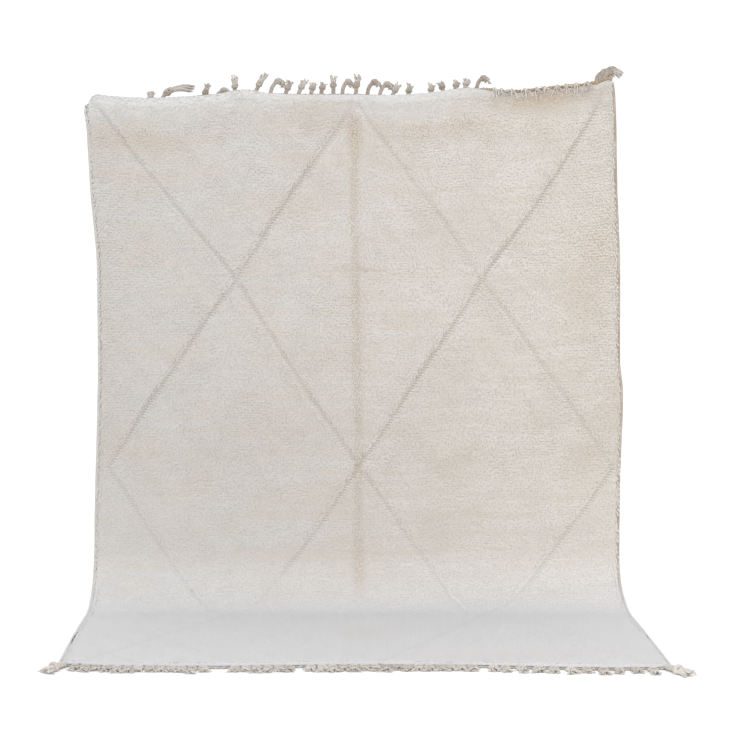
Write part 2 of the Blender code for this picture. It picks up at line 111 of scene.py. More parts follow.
SIDES = (
    Side(0.00, -1.080, 1.003),
    Side(0.08, -1.072, 1.009),
    Side(0.36, -1.058, 1.018),
    Side(0.68, -1.036, 1.033),
    Side(1.03, -1.036, 1.036),
    Side(1.18, -1.040, 1.049),
    Side(1.60, -1.054, 1.041),
    Side(1.90, -1.062, 1.042),
    Side(2.13, -1.062, 1.060),
    Side(2.45, -1.052, 1.070),
    Side(2.95, -1.025, 1.080),
)
TOP_LINE = (
    Top(-1.08, 2.022, 0.038),
    Top(-1.06, 2.050, 0.038),
    Top(-1.04, 2.060, 0.038),
    Top(-1.01, 2.055, 0.038),
    Top(-0.83, 2.047, 0.038),
    Top(-0.58, 2.062, 0.036),
    Top(-0.45, 2.083, 0.031),
    Top(-0.36, 2.070, 0.026),
    Top(-0.20, 2.062, 0.018),
    Top(-0.05, 2.061, 0.016),
    Top(0.06, 2.061, 0.022),
    Top(0.24, 2.067, 0.030),
    Top(0.43, 2.089, 0.023),
    Top(0.60, 2.066, 0.014),
    Top(0.82, 2.084, 0.012),
    Top(0.94, 2.099, 0.012),
    Top(0.99, 2.115, 0.012),
    Top(1.02, 2.104, 0.012),
)
FRONT_LINE = (
    Front(-1.02, 0.990),
    Front(-0.80, 1.016),
    Front(-0.50, 1.021),
    Front(0.00, 1.000),
    Front(0.35, 1.002),
    Front(0.67, 1.030),
    Front(0.90, 1.042),
    Front(1.07, 1.030),
)
# Corners and crossings of the lattice, a row for each quarter's end, from left to right.
LATTICE = np.array((
    (-1.045, -0.530, -0.012, 0.510, 0.985),
    (-1.010, -0.493, 0.000, 0.491, 1.010),
    (-1.010, -0.520, -0.004, 0.515, 1.020),
    (-1.020, -0.521, 0.030, 0.476, 1.030),
    (-0.965, -0.500, 0.071, 0.560, 1.030),
))
SWELLS = (
    Swell(-0.72, 1.930, 0.40, 0.07, 0.0, -0.010),
    Swell(-0.28, 1.900, 0.06, 0.22, -0.94, 0.011),
    Swell(-0.16, 1.970, 0.12, 0.09, 0.0, -0.010),
    Swell(0.23, 1.920, 0.25, 0.06, 0.0, -0.009),
    Swell(0.75, 1.950, 0.25, 0.10, 0.0, 0.006),
    Swell(-0.30, 1.000, 0.45, 0.40, 0.2, 0.010),
    Swell(0.55, 1.250, 0.40, 0.45, 0.0, -0.008),
    Swell(1.05, 0.860, 0.18, 0.14, 0.0, 0.009),
    Swell(-1.05, 0.400, 0.20, 0.25, 0.0, 0.011),
    Swell(0.45, 0.470, 0.35, 0.20, 0.0, 0.008),
)
COURSES = {
    "up": Course(0.024, 0.000, 0.0, 0.028, 0.5, 0.4, 0.024, 1.0),
    "arch": Course(0.026, 0.014, 0.6, 0.050, 1.4, 0.8, 0.052, 0.5),
    "long": Course(0.026, 0.010, 0.75, 0.045, 1.25, 0.45, 0.050, 0.85),
    "behind": Course(0.022, 0.000, 0.0, 0.030, -0.3, 1.0, 0.022, -1.0),
}
TASSEL_STEPS = 40
# Steps of a tassel's path between which its knot lies, and at which it begins to fray.
KNOTS = {
    "floor": (2, 12, 28),
    "corner": (18, 25, 34),
    "forward": (9, 13, 24),
    "behind": (9, 15, 35),
    "up": (19, 26, 33),
    "arch": (20, 27, 34),
    "long": (12, 19, 36),
}
FORWARD_LEAD = 0.014
FORWARD_LEAD_OUT = 0.010
FORWARD_SWING = 0.018
FORWARD_CREST = 0.003
TOP_TASSELS = (
    Tassel(-0.836, "up", 0.045, 0.00),
    Tassel(-0.790, "long", 0.060, 0.13, 1.15),
    Tassel(-0.622, "up", 0.068, 0.02),
    Tassel(-0.572, "arch", 0.036, 0.05),
    Tassel(-0.497, "up", 0.074, 0.00),
    Tassel(-0.412, "up", 0.080, 0.04),
    Tassel(-0.352, "arch", 0.058, 0.05),
    Tassel(-0.292, "up", 0.058, 0.02),
    Tassel(-0.240, "up", 0.066, 0.03),
    Tassel(-0.190, "up", 0.052, 0.01),
    Tassel(-0.150, "up", 0.054, 0.01),
    Tassel(-0.102, "up", 0.078, 0.00),
    Tassel(-0.066, "arch", 0.052, 0.04),
    Tassel(-0.012, "up", 0.082, 0.01),
    Tassel(0.034, "arch", 0.056, 0.05),
    Tassel(0.084, "arch", 0.050, 0.05),
    Tassel(0.134, "up", 0.054, 0.03),
    Tassel(0.196, "up", 0.050, 0.01),
    Tassel(0.284, "up", 0.044, 0.01),
    Tassel(0.336, "up", 0.044, -0.01),
    Tassel(0.384, "up", 0.040, 0.01),
    Tassel(0.424, "up", 0.040, 0.01),
    Tassel(0.470, "arch", 0.046, 0.05),
    Tassel(0.944, "arch", 0.044, 0.070, 1.25),
    Tassel(0.958, "arch", 0.048, 0.092, 1.25),
    Tassel(0.974, "arch", 0.034, 0.075, 1.15),
)
TOP_STRETCHES = (
    Tassel((-1.045, -0.86), "behind", 0.060, 0.0),
    Tassel((-0.72, -0.64), "behind", 0.060, 0.0),
    Tassel((0.53, 0.92), "forward", 0.050, 0.0, 0.95),
)
TOP_PITCH = 0.042
FRONT_PITCH_LEFT = 0.037
FRONT_PITCH_RIGHT = 0.056
FRONT_PITCH_CHANGE = 0.50
FRONT_GAPS = (-0.47, -0.20, 0.42)
FRONT_LENGTH = 0.066
CORNER_LENGTH = 0.095
CORNER_SIZE = 1.75
CORNER_INSET = 0.012
CORNER_LIFT = 0.010
# Shares of a floor tassel's length, lean and lift at the four points of its course.
FLOOR_COURSE = ((0.0, 0.0, 0.5), (0.4, 0.3, 1.0), (0.7, 0.6, 1.0), (1.0, 1.0, 0.0))
ON_FLOOR = ("floor", "corner")
FIRST_TASSEL = 0.055
GAP_REACH = 0.020

# Finer creases of the hanging cloth than its solid has, in the same form as its swells.
CREASES = (
    Swell(-0.012, 1.300, 0.010, 0.62, 0.0, -0.0035),
    Swell(0.000, 1.367, 0.13, 0.007, 0.0, -0.0030),
    Swell(0.230, 2.030, 0.22, 0.018, 0.0, 0.0040),
    Swell(-0.060, 0.610, 0.20, 0.012, 0.0, -0.0020),
    Swell(-0.376, 0.600, 0.012, 0.32, 0.1, -0.0020),
    Swell(0.340, 1.500, 0.014, 0.30, 0.0, 0.0018),
)
# The parted pile down the middle, where the rug was folded: soiled, and its locks lean in.
CREASE_LINE = (
    Crease(0.030, -0.018, 0.022, 0.00),
    Crease(0.060, -0.018, 0.028, 0.55),
    Crease(0.170, -0.018, 0.026, 0.60),
    Crease(0.240, -0.020, 0.016, 0.30),
    Crease(0.600, -0.016, 0.016, 0.28),
    Crease(1.000, -0.008, 0.016, 0.30),
    Crease(1.250, -0.004, 0.016, 0.27),
    Crease(1.650, -0.004, 0.016, 0.24),
    Crease(1.850, -0.002, 0.022, 0.36),
    Crease(2.000, 0.000, 0.024, 0.44),
    Crease(2.090, 0.000, 0.024, 0.00),
)
SOIL_AND_SHADE = (
    TintPatch(0.000, 0.660, 0.120, 0.012, 0.35),
    # Tan soil, and painted shadow under the fringe at the upper right.
    TintPatch(0.740, 0.012, 0.240, 0.040, 0.70),
    TintPatch(0.960, 0.640, 0.110, 0.120, 0.22),
    TintPatch(0.900, 0.800, 0.100, 0.200, 0.15),
    TintPatch(0.384, 1.455, 0.130, 0.050, 0.15),
    TintPatch(0.920, 1.455, 0.110, 0.060, 0.15),
    # These three are painted shade: the dark bands where the cloth turns down below the rolled top end.
    TintPatch(-0.200, 0.050, 0.150, 0.060, 0.32),
    TintPatch(-0.860, 0.130, 0.200, 0.050, 0.30),
    TintPatch(0.350, 0.120, 0.250, 0.040, 0.28),
    TintPatch(0.030, 2.500, 0.110, 0.140, 0.06),
    TintPatch(0.500, 2.860, 0.450, 0.050, 0.06),
)

# Stretches of the run down from the bend, or up where the length is below 0.
CREASE_START = Stretch(0.03, 0.04)
CREASE_END = Stretch(2.06, -0.16)
PRESSED_TOP = Stretch(0.012, -0.024)       # half pressed up from here, over the bend
BENT_TOP = Stretch(0.010, -0.020)          # wool that stands in all ways
PRESSED_LOW = Stretch(1.30, 0.45)          # half pressed from here down
PAINTED_SHADE_LINES = Stretch(1.35, 0.30)           # painted shade in the lattice lines from here down
PRESSED_LINES = Stretch(2.10, 0.15)        # and on the floor, painted shade and painted highlight
# Across: from here to the right, the top's end cord shows.
SHOWN_CORD = Stretch(0.44, 0.10)

# Work in the cloth that is finer than the solids.
BODY_DEPTH = 0.0025        # from the pile's top down to where it is dense
RIM_REACH = 0.015          # the pile thins out over this much of the rim
RIM_LEAN_REACH = 0.018     # and its locks lean out over the side cords from this far in
RIM_LIFT = 0.0018          # their height over the others
LOCK_MARGIN = 0.003        # from the sides to the first lock
FLOOR_MARGIN = 0.006       # the same on the floor
END_MARGIN = 0.0012        # from the ends to the first lock
LAST_ROW = 0.005           # from the front end to the last row of knots
FRONT_REACH = 0.014        # locks are rooted higher and lit from the front this near to it
FRONT_OVERHANG = 0.006     # and reach this far past it at most
SHORT_REACH = 0.018        # locks are cut short this near to the top end
ROOT_DEPTH = 0.0012        # from the dense pile's top down to a lock's root
ROWS_REACH = 0.28          # from the sides in, rows of knots show
CREASE_LEAN = math.radians(42)
STROKE_PITCH = 0.0085      # from one clump of locks in the crease to the next
FAN_LEAN = math.radians(30)
CLUMP_LEAN = math.radians(14)
STRAY_LEAN = math.radians(9)
OUTWARD = (("left", -1.2), ("right", 0.35))    # how far the locks at the sides lean out
LOCK_ROUNDNESS = 0.13      # how far a lock's shading turns away at its edges
FAINT = 0.58               # of the lattice lines that run down to the right
FLOOR_GAP = 0.0005         # from the rug down to the studio floor
PILE_PIECES = 3
GRID_COLUMNS = 160
BEND_ROWS = 6
WRAP_BITE = 0.0015         # the side cords' wraps bite this far into the sheet
CORD_TAPER = 0.045         # a side cord thins out over this length of its ends
CORD_TIP = 0.002           # and its end stands out by this
STRANDS = 2                # of an end cord
STRAND_SIDES = 6
STRAND_RADIUS = 0.0026
STRAND_SWING = 0.0022      # from the end cord's middle to a strand's
STRAND_LIFT = 0.003        # how far a swollen cord stands off the warps
YARN_LOWEST = 0.0002       # a tassel's yarns lie this far over the floor


def linear(code):
    """An sRGB hex colour as linear red, green and blue."""
    parts = [int(code[i:i + 2], 16) / 255 for i in (1, 3, 5)]
    return tuple(c / 12.92 if c <= 0.04045 else ((c + 0.055) / 1.055) ** 2.4 for c in parts)


# ---------------------------------------------------------------- the rug's shape

def read(table, column, at):
    """Read a column of a table between its rows, on a curve with no overshoot."""
    places = np.array([row[0] for row in table])
    values = np.array([getattr(row, column) for row in table])
    steps = np.diff(places)
    rises = np.diff(values) / steps
    before, after = rises[:-1], rises[1:]
    total = np.where(before * after > 0, before + after, 1.0)
    inner = np.where(before * after > 0, 2 * before * after / total, 0.0)
    slopes = np.concatenate([rises[:1], inner, rises[-1:]])
    at = np.clip(np.asarray(at, float), places[0], places[-1])
    i = np.clip(np.searchsorted(places, at, side="right") - 1, 0, len(steps) - 1)
    t = (at - places[i]) / steps[i]
    ease = t * t * (3 - 2 * t)
    curve = values[i] * (1 - ease) + values[i + 1] * ease
    curve += slopes[i] * steps[i] * t * (1 - t) ** 2
    return curve - slopes[i + 1] * steps[i] * t * t * (1 - t)


def smooth(share):
    """0 to 1 with soft ends."""
    share = np.clip(share, 0.0, 1.0)
    return share * share * (3 - 2 * share)


def ramp(value, stretch):
    """0 before a stretch and 1 past it, with soft ends."""
    return smooth((value - stretch.start) / stretch.length)


def swell(x, z, rows=SWELLS):
    """How far forward the hanging cloth stands at a place."""
    total = np.zeros(np.broadcast(x, z).shape)
    for row in rows:
        rise = z - row.z
        across = (x - row.x - row.lean * rise) / row.wide
        total += row.forward * np.exp(-across ** 2 - (rise / row.tall) ** 2)
    return total * smooth((z - SWEEP_RADIUS) / SWELL_FADE)


def bend_start(x):
    """Height at which the bend begins, so that the pile's top meets the top line."""
    angle = np.minimum(read(TOP_LINE, "turn", x) / BEND_RADIUS, math.pi / 2)
    return read(TOP_LINE, "height", x) - (BEND_RADIUS + THICKNESS) * np.sin(angle)


def weave(x, run):
    """Back of the ground weave at a run below the bend, and the way to the pile."""
    x, run = np.broadcast_arrays(np.asarray(x, float), np.asarray(run, float))
    start = bend_start(x)
    back = HANG_Y + THICKNESS
    past = run - (start - SWEEP_RADIUS)
    sweep = np.clip(past / SWEEP_RADIUS, 0.0, math.pi / 2)
    flat = np.maximum(past - SWEEP_RADIUS * math.pi / 2, 0.0)
    height = start - np.maximum(run, 0.0)
    forward = swell(x, height) + swell(x, height, CREASES)
    turn = np.maximum(-run, 0.0) / BEND_RADIUS
    bent = run < 0
    y = back - forward - SWEEP_RADIUS * (1 - np.cos(sweep)) - flat
    y = np.where(bent, back - forward + BEND_RADIUS * (1 - np.cos(turn)), y)
    z = np.where(past > 0, SWEEP_RADIUS * (1 - np.sin(sweep)), height)
    z = np.where(bent, start + BEND_RADIUS * np.sin(turn), z)
    angle = np.where(bent, turn, sweep)
    out = np.stack([np.zeros_like(angle), -np.cos(angle), np.sin(angle)], -1)
    return np.stack([x + MIDDLE_X, y, z], -1), out


def quarter_runs(x):
    """Runs below the bend at which the lattice's quarters begin and end."""
    x = np.asarray(x, float)
    start = bend_start(x)
    floor_zero = start - SWEEP_RADIUS + SWEEP_RADIUS * math.pi / 2 - (SWEEP_RADIUS - THICKNESS)
    return np.stack([
        np.zeros_like(x),
        start - CROSSING_HEIGHT,
        start - MIDDLE_HEIGHT,
        floor_zero + FLOOR_CROSSING,
        floor_zero + read(FRONT_LINE, "reach", x),
    ])


def level_at(x, run):
    """How many quarters of the lattice lie above a place."""
    runs = quarter_runs(x)
    return sum(np.clip((run - a) / (b - a), 0.0, 1.0) for a, b in zip(runs, runs[1:]))


def run_at(x, level):
    """Run below the bend at a level; below level 0, a share of the turned-back end."""
    x, level = np.broadcast_arrays(np.asarray(x, float), np.asarray(level, float))
    runs = quarter_runs(x)
    steps = [(b - a) * np.clip(level - i, 0.0, 1.0) for i, (a, b) in enumerate(zip(runs, runs[1:]))]
    return sum(steps) + np.minimum(level, 0.0) * read(TOP_LINE, "turn", x)


def side_at(level, side):
    """Place across of the rug's left or right side at a level."""
    return read(SIDES, side, run_at(np.zeros_like(level), np.maximum(level, 0.0)))


def sides_at(level):
    """Places across of both sides at a level."""
    return side_at(level, "left"), side_at(level, "right")


def side_distance(x, level):
    """How far a place lies from the nearest side."""
    left, right = sides_at(level)
    return np.minimum(x - left, right - x)


def front_end(x=0.0):
    """Run of the rug's front end, down its middle unless a place is given."""
    return quarter_runs(x)[-1]


def groove(x, level, faint=1.0):
    """1 on a lattice line, less on those that run down to the right if faint, 0 elsewhere."""
    quarter = np.clip(np.floor(level).astype(int), 0, 3)
    share = np.clip(level, 0.0, 4.0) - quarter
    bounds = LATTICE[quarter] * (1 - share)[..., None] + LATTICE[quarter + 1] * share[..., None]
    close = np.zeros_like(share)
    for column in range(4):
        right_down = (quarter + column) % 2 == 0
        along = np.where(right_down, share, 1 - share)
        line = bounds[..., column] * (1 - along) + bounds[..., column + 1] * along
        most = np.where(right_down, faint, 1.0)
        close = np.maximum(close, most * (1 - np.abs(x - line) / GROOVE_REACH))
    return close


def low_lines(x, run):
    """How much painted shade and painted highlight the lattice lines get where the pile is pressed into
    them.
    """
    level = level_at(x, run)
    floor = lying(x, run) * ramp(run, PRESSED_LINES)
    low = 0.30 * ramp(run, PAINTED_SHADE_LINES) * (1 - floor)
    left_down, all_lines = groove(x, level, 0.0), groove(x, level)
    right_down = np.where(all_lines > left_down, all_lines, 0.0)
    painted_shade = floor * smooth((left_down - 0.55) / 0.35) + low * smooth((all_lines - 0.45) / 0.40)
    return painted_shade, floor * smooth((right_down - 0.30) / 0.50)


def rim_distance(x, run, level):
    """How far a place lies from the nearest side or end of the rug."""
    ends = np.minimum(run + read(TOP_LINE, "turn", x), front_end(x) - run)
    return np.minimum(side_distance(x, level), ends)


def lying(x, run):
    """0 on the hanging cloth and 1 on the floor, where the pile lies pressed and smooth."""
    return smooth((run - bend_start(x) + SWEEP_RADIUS) / (SWEEP_RADIUS * math.pi / 2))


def pressed(x, run):
    """1 where the pile is pressed flat: on the floor, in part above it, and over the bend."""
    calmer = np.maximum(0.55 * ramp(run, PRESSED_LOW), 0.5 * ramp(run, PRESSED_TOP))
    return np.maximum(lying(x, run), calmer)


def pile_height(x, run):
    """Back of the weave to the pile's top, with its lumps, lattice lines and thin rim."""
    level = level_at(x, run)
    lumps = np.sin(9.1 * x + 4.3 * run) + np.sin(17.3 * x - 11.9 * run + 1.1)
    lumps += np.sin(6.7 * x + 21.7 * run + 2.3)
    full = THICKNESS + LUMP_HEIGHT * lumps / 2 - EDGE_THICKNESS
    full -= GROOVE_DEPTH * (0.1 + 0.9 * (1 - pressed(x, run)) ** 2) * smooth(groove(x, level))
    return EDGE_THICKNESS + full * smooth(rim_distance(x, run, level) / RIM_REACH)


def body_height(x, run):
    """Back of the weave to where the pile is dense."""
    return pile_height(x, run) - BODY_DEPTH * (1 - 0.75 * pressed(x, run))


def unit(vectors):
    """Vectors of the same ways, with a length of 1."""
    return vectors / np.maximum(np.linalg.norm(vectors, axis=-1, keepdims=True), 1e-12)


def pile_top(x, run):
    """Points of the pile's top."""
    point, out = weave(x, run)
    return point + out * pile_height(x, run)[..., None]


def pile_frame(x, run, reach=0.004):
    """Unit vectors down the rug, across it and off the pile's top, and how far a run's step goes."""
    across = pile_top(x + reach, run) - pile_top(x - reach, run)
    down = pile_top(x, run + reach) - pile_top(x, run - reach)
    stretch = np.linalg.norm(down, axis=1) / (2 * reach)
    normal = unit(np.cross(down, across))
    return unit(down), unit(np.cross(normal, down)), normal, stretch


def waves(seed, shortest, longest, count=14):
    """A smooth uneven field over the rug, about -1 to 1, with waves of these lengths."""
    draw = np.random.default_rng(seed)
    size = 2 * math.pi / np.exp(draw.uniform(math.log(shortest), math.log(longest), count))
    way = draw.uniform(0, 2 * math.pi, count)
    phase = draw.uniform(0, 2 * math.pi, count)

    def field(x, run):
        """The field's value at a place."""
        parts = [np.sin(s * (x * math.cos(w) + run * math.sin(w)) + p)
                 for s, w, p in zip(size, way, phase)]
        return sum(parts) / math.sqrt(count / 2) / 1.6

    return field


def row_share(x, run):
    """How far the rows of knots show: plainly near the sides, and in patches elsewhere."""
    near_sides = smooth(1 - side_distance(x, level_at(x, run)) / ROWS_REACH)
    patches = smooth(0.9 * waves(8, 0.15, 0.60)(x, run) + 0.1)
    return np.maximum(0.9 * near_sides, 0.7 * patches) * (1 - pressed(x, run))


def crease_share(x, run):
    """How much a place belongs to the parted pile down the middle."""
    half = read(CREASE_LINE, "half", run)
    ends = ramp(run, CREASE_START) * ramp(run, CREASE_END)
    return np.exp(-((x - read(CREASE_LINE, "x", run)) / half) ** 2) * ends


def stroke_share(x, run):
    """1 on the strokes that slant down into the crease, 0 between them."""
    away = np.abs(x - read(CREASE_LINE, "x", run))
    slant = run * math.sin(CREASE_LEAN) + away * math.cos(CREASE_LEAN)
    return 0.5 + 0.5 * np.sin(2 * math.pi * slant / STROKE_PITCH)


def soil_at(x, run):
    """How soiled the wool is, with painted shade below the rolled top end and under the fringe, from 0
    to about 1.
    """
    soil = crease_share(x, run) * read(CREASE_LINE, "soil", run)
    for stain in SOIL_AND_SHADE:
        patch = np.exp(-((x - stain.x) / stain.wide) ** 2 - ((run - stain.run) / stain.tall) ** 2)
        soil = np.maximum(soil, patch * stain.soil)
    return soil


# ---------------------------------------------------------------- meshes

class Heap:
    """Closed shells gathered into one mesh, with a place and a tone for each point."""

    def __init__(self):
        self.points, self.faces, self.places, self.tones = [], [], [], []
        self.count = 0

    def add(self, points, faces, places, tone, lowest=0.0):
        """Take in a shell, with its points kept above the floor."""
        points[:, 2] = np.maximum(points[:, 2], lowest)
        self.points.append(points)
        self.faces.append(faces + self.count)
        self.places.append(places)
        self.tones.append(np.full(len(points), tone))
        self.count += len(points)

    def piece(self, name, material, soil=None):
        """Make one mesh object of all the shells."""
        return new_piece(name, np.concatenate(self.points), np.concatenate(self.faces), material,
                         np.concatenate(self.places), np.concatenate(self.tones), soil)


def in_scene(name, data):
    """A new object of the scene with this mesh, light or camera."""
    made = bpy.data.objects.new(name, data)
    bpy.context.scene.collection.objects.link(made)
    return made


def new_piece(name, points, faces, material, places, tones, soil=None, normals=None):
    """A mesh object with the attributes that the wool's materials read."""
    mesh = bpy.data.meshes.new(name)
    mesh.from_pydata(points, [], faces)
    mesh.shade_smooth()
    soil = np.zeros(len(points)) if soil is None else soil
    for key, kind, field, values in (("place", "FLOAT_VECTOR", "vector", places),
                                     ("tone", "FLOAT", "value", tones),
                                     ("soil", "FLOAT", "value", soil)):
        mesh.attributes.new(key, kind, "POINT").data.foreach_set(field, values.ravel())
    if normals is not None:
        mesh.normals_split_custom_set_from_vertices(normals)
    mesh.materials.append(material)
    return in_scene(name, mesh)


def fit_out(piece, slot, *nodes):
    """Make a piece ride on the rug's body and stand for its solids; its slot is not used."""
    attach(piece, "root")
    if nodes:
        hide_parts(*nodes)


def lengths(path):
    """How far along a path each of its points lies."""
    return np.concatenate([[0.0], np.cumsum(np.linalg.norm(np.diff(path, axis=0), axis=1))])


def carried_frame(path, first):
    """Unit vectors ahead, to the side and up along a path, carried without twisting."""
    ahead = unit(np.gradient(path, axis=0))
    side = np.empty_like(path)
    last = np.asarray(first, float)
    for i, way in enumerate(ahead):
        last = last - way * (last @ way)
        last = last / np.linalg.norm(last)
        side[i] = last
    return ahead, side, np.cross(side, ahead)


def grid_faces(rows, columns, wrap):
    """Triangles between neighbouring rows of points."""
    step = np.arange(columns if wrap else columns - 1)
    a = (np.arange(rows - 1)[:, None] * columns + step).ravel()
    b = (np.arange(rows - 1)[:, None] * columns + (step + 1) % columns).ravel()
    return np.concatenate([np.stack([a, b, b + columns], 1),
                           np.stack([a, b + columns, a + columns], 1)])


def turns_round(sides):
    """Angles of the points round a tube."""
    return 2 * math.pi * np.arange(sides) / sides


def tube(path, first, radii, sides, squash=1.0, tip=None):
    """A closed strand along a path, with a point at each end, half a radius or a tip past it."""
    ahead, side, up = carried_frame(path, first)
    angle = turns_round(sides)
    radii = radii if np.ndim(radii) == 2 else np.broadcast_to(radii, len(path))[:, None]
    ring = side[:, None] * np.cos(angle)[:, None] + up[:, None] * (np.sin(angle) * squash)[:, None]
    shell = (path[:, None] + ring * radii[..., None]).reshape(-1, 3)
    reach = radii[[0, -1], :1] * 0.5 if tip is None else tip
    ends = path[[0, -1]] + ahead[[0, -1]] * reach * ((-1,), (1,))
    along = lengths(path)
    places = np.stack(np.broadcast_arrays(angle / (2 * math.pi), along[:, None], 0.0), -1)
    places = np.concatenate([places.reshape(-1, 3), [[0, along[0], 0], [0, along[-1], 0]]])
    k = np.arange(sides)
    following = (k + 1) % sides
    last = len(shell) - sides
    faces = np.concatenate([
        grid_faces(len(path), sides, True),
        np.stack([np.full(sides, len(shell)), following, k], 1),
        np.stack([np.full(sides, len(shell) + 1), last + k, last + following], 1),
    ])
    return np.concatenate([shell, ends]), faces[:, ::-1], places


def for_tube(values, sides):
    """A value for each step of a path, for all the points of a tube along it."""
    return np.concatenate([values.repeat(sides), values[[0, -1]]])


def bezier(points, share):
    """Points of a cubic curve."""
    a, b, c, d = np.asarray(points, float)
    t = np.asarray(share)[:, None]
    r = 1 - t
    return a * r ** 3 + b * 3 * r ** 2 * t + c * 3 * r * t ** 2 + d * t ** 3


# ---------------------------------------------------------------- ground weave

def ground_grid(settings):
    """Places across and runs of the ground weave's points, a row for each row of knots."""
    end = float(front_end())
    levels = level_at(0.0, np.linspace(0.0, end, round(end / settings.row_pitch) + 1))
    levels = np.concatenate([-np.arange(BEND_ROWS, 0, -1) / BEND_ROWS, levels])[:, None]
    left, right = sides_at(levels)
    x = left + (right - left) * np.linspace(0.0, 1.0, GRID_COLUMNS)
    return x, run_at(x, levels)


def make_ground_weave(settings):
    """The weave and the dense body of the pile as one closed sheet."""
    x, run = ground_grid(settings)
    rows, columns = x.shape
    point, out = weave(x, run)
    front = point + out * body_height(x, run)[..., None]
    points = np.concatenate([front.reshape(-1, 3), point.reshape(-1, 3)])
    sheet = grid_faces(rows, columns, False)
    count = rows * columns
    rim = np.concatenate([
        np.arange(columns), np.arange(2, rows) * columns - 1,
        count - 1 - np.arange(columns), np.arange(rows - 2, 0, -1) * columns,
    ])
    following = np.roll(rim, -1)
    edge = np.concatenate([np.stack([rim, rim + count, following + count], 1),
                           np.stack([rim, following + count, following], 1)])
    faces = np.concatenate([sheet[:, ::-1], sheet + count, edge[:, ::-1]])
    places = np.stack([x, run, np.zeros_like(x)], -1).reshape(-1, 3)
    places = np.concatenate([places, places + (0, 0, 1)])
    soil = soil_at(x, run).ravel()
    # Painted shade: the lattice lines, the parted crease and the gaps between rows take the darker foot
    # colour.
    painted_shade = np.maximum(smooth(groove(x, level_at(x, run), FAINT)), 0.30 * crease_share(x, run))
    painted_shade = np.maximum(painted_shade, 0.2 * row_share(x, run))
    full = 1 - (painted_shade * (1 - 0.8 * lying(x, run)) * smooth(run / 0.03)).ravel()
    piece = new_piece("ground_weave", points, faces, wool(knotted_wool_weave, settings), places,
                      np.tile(full, 2), np.concatenate([soil, soil * 0.3]))
    fit_out(piece, "pile", "rug")


# ---------------------------------------------------------------- pile

def lock_places(settings, draw):
    """Places across and runs of the locks' roots: rows of knots, staggered."""
    end = float(front_end())
    runs = np.append(np.arange(0.0, end - settings.row_pitch, settings.row_pitch), end - LAST_ROW)
    levels = level_at(0.0, runs)
    levels = np.concatenate([0.25 / BEND_ROWS - np.arange(BEND_ROWS, 0, -1) / BEND_ROWS, levels])
    found = []
    for k, level in enumerate(levels):
        left, right = sides_at(level)
        width = right - left - 2 * LOCK_MARGIN
        count = round(width / settings.lock_pitch)
        share = (np.arange(count) + 0.25 + 0.5 * (k % 2)) / count
        x = left + LOCK_MARGIN + width * share
        found.append(np.stack([x, run_at(x, level), np.full(count, k)]))
    x, run, row = np.concatenate(found, 1)
    free = 1 - smooth(groove(x, level_at(x, run)))
    x = x + settings.lock_pitch * draw.uniform(-0.35, 0.35, len(x)) * (0.3 + 0.7 * free)
    # Rows lie less straight where the cloth turns down from the bend.
    loose = 0.30 + 0.70 * smooth(1 - np.abs(run - 0.004) / 0.035)
    run = run + settings.row_pitch * loose * draw.uniform(-1, 1, len(x)) * (0.06 + 0.94 * free)
    level = level_at(x, run)
    kept = rim_distance(x, run, level) > END_MARGIN
    kept &= side_distance(x, level) > FLOOR_MARGIN * lying(x, run)
    return x[kept], run[kept], row[kept]


def root_locks(settings, draw):
    """The locks' roots, and what the rug is like at each of them."""
    x, run, row = lock_places(settings, draw)
    flat = pressed(x, run)
    room = front_end(x) - run
    return SimpleNamespace(
        x=x, run=run, row=row, flat=flat, calm=1 - 0.8 * flat, floor=lying(x, run), room=room,
        line=smooth(groove(x, level_at(x, run), FAINT)),
        crease=crease_share(x, run),
        stroke=stroke_share(x, run),
        rows=row_share(x, run),
        bent=ramp(run, BENT_TOP),
        front=smooth(1 - room / FRONT_REACH),
    )


def lean_locks(lock, draw):
    """Brush each lock down the rug in fans, into the crease, and outwards near the sides."""
    x, run, crease = lock.x, lock.run, lock.crease
    lock.down, lock.across, lock.normal, lock.stretch = pile_frame(x, run)
    lean = FAN_LEAN * waves(3, 0.30, 1.10)(x, run) + CLUMP_LEAN * waves(4, 0.06, 0.16)(x, run)
    lean += STRAY_LEAN * draw.normal(size=len(x))
    inward = -np.sign(x - read(CREASE_LINE, "x", run)) * CREASE_LEAN
    lean = lean * (1 - crease) * (1 - 0.8 * lock.rows) + inward * crease
    level = level_at(x, run)
    lean = lean * (1 - 0.8 * smooth(groove(x, level)))
    forward = lock.down * np.cos(lean)[:, None] + lock.across * np.sin(lean)[:, None]
    lock.rim = np.zeros_like(x)
    for side, way in OUTWARD:
        near = smooth(1 - np.abs(side_at(level, side) - x) / RIM_LEAN_REACH) * (1 - lock.floor)
        forward = forward + lock.across * (way * near)[:, None]
        lock.rim = lock.rim + near
    lock.forward = unit(forward)


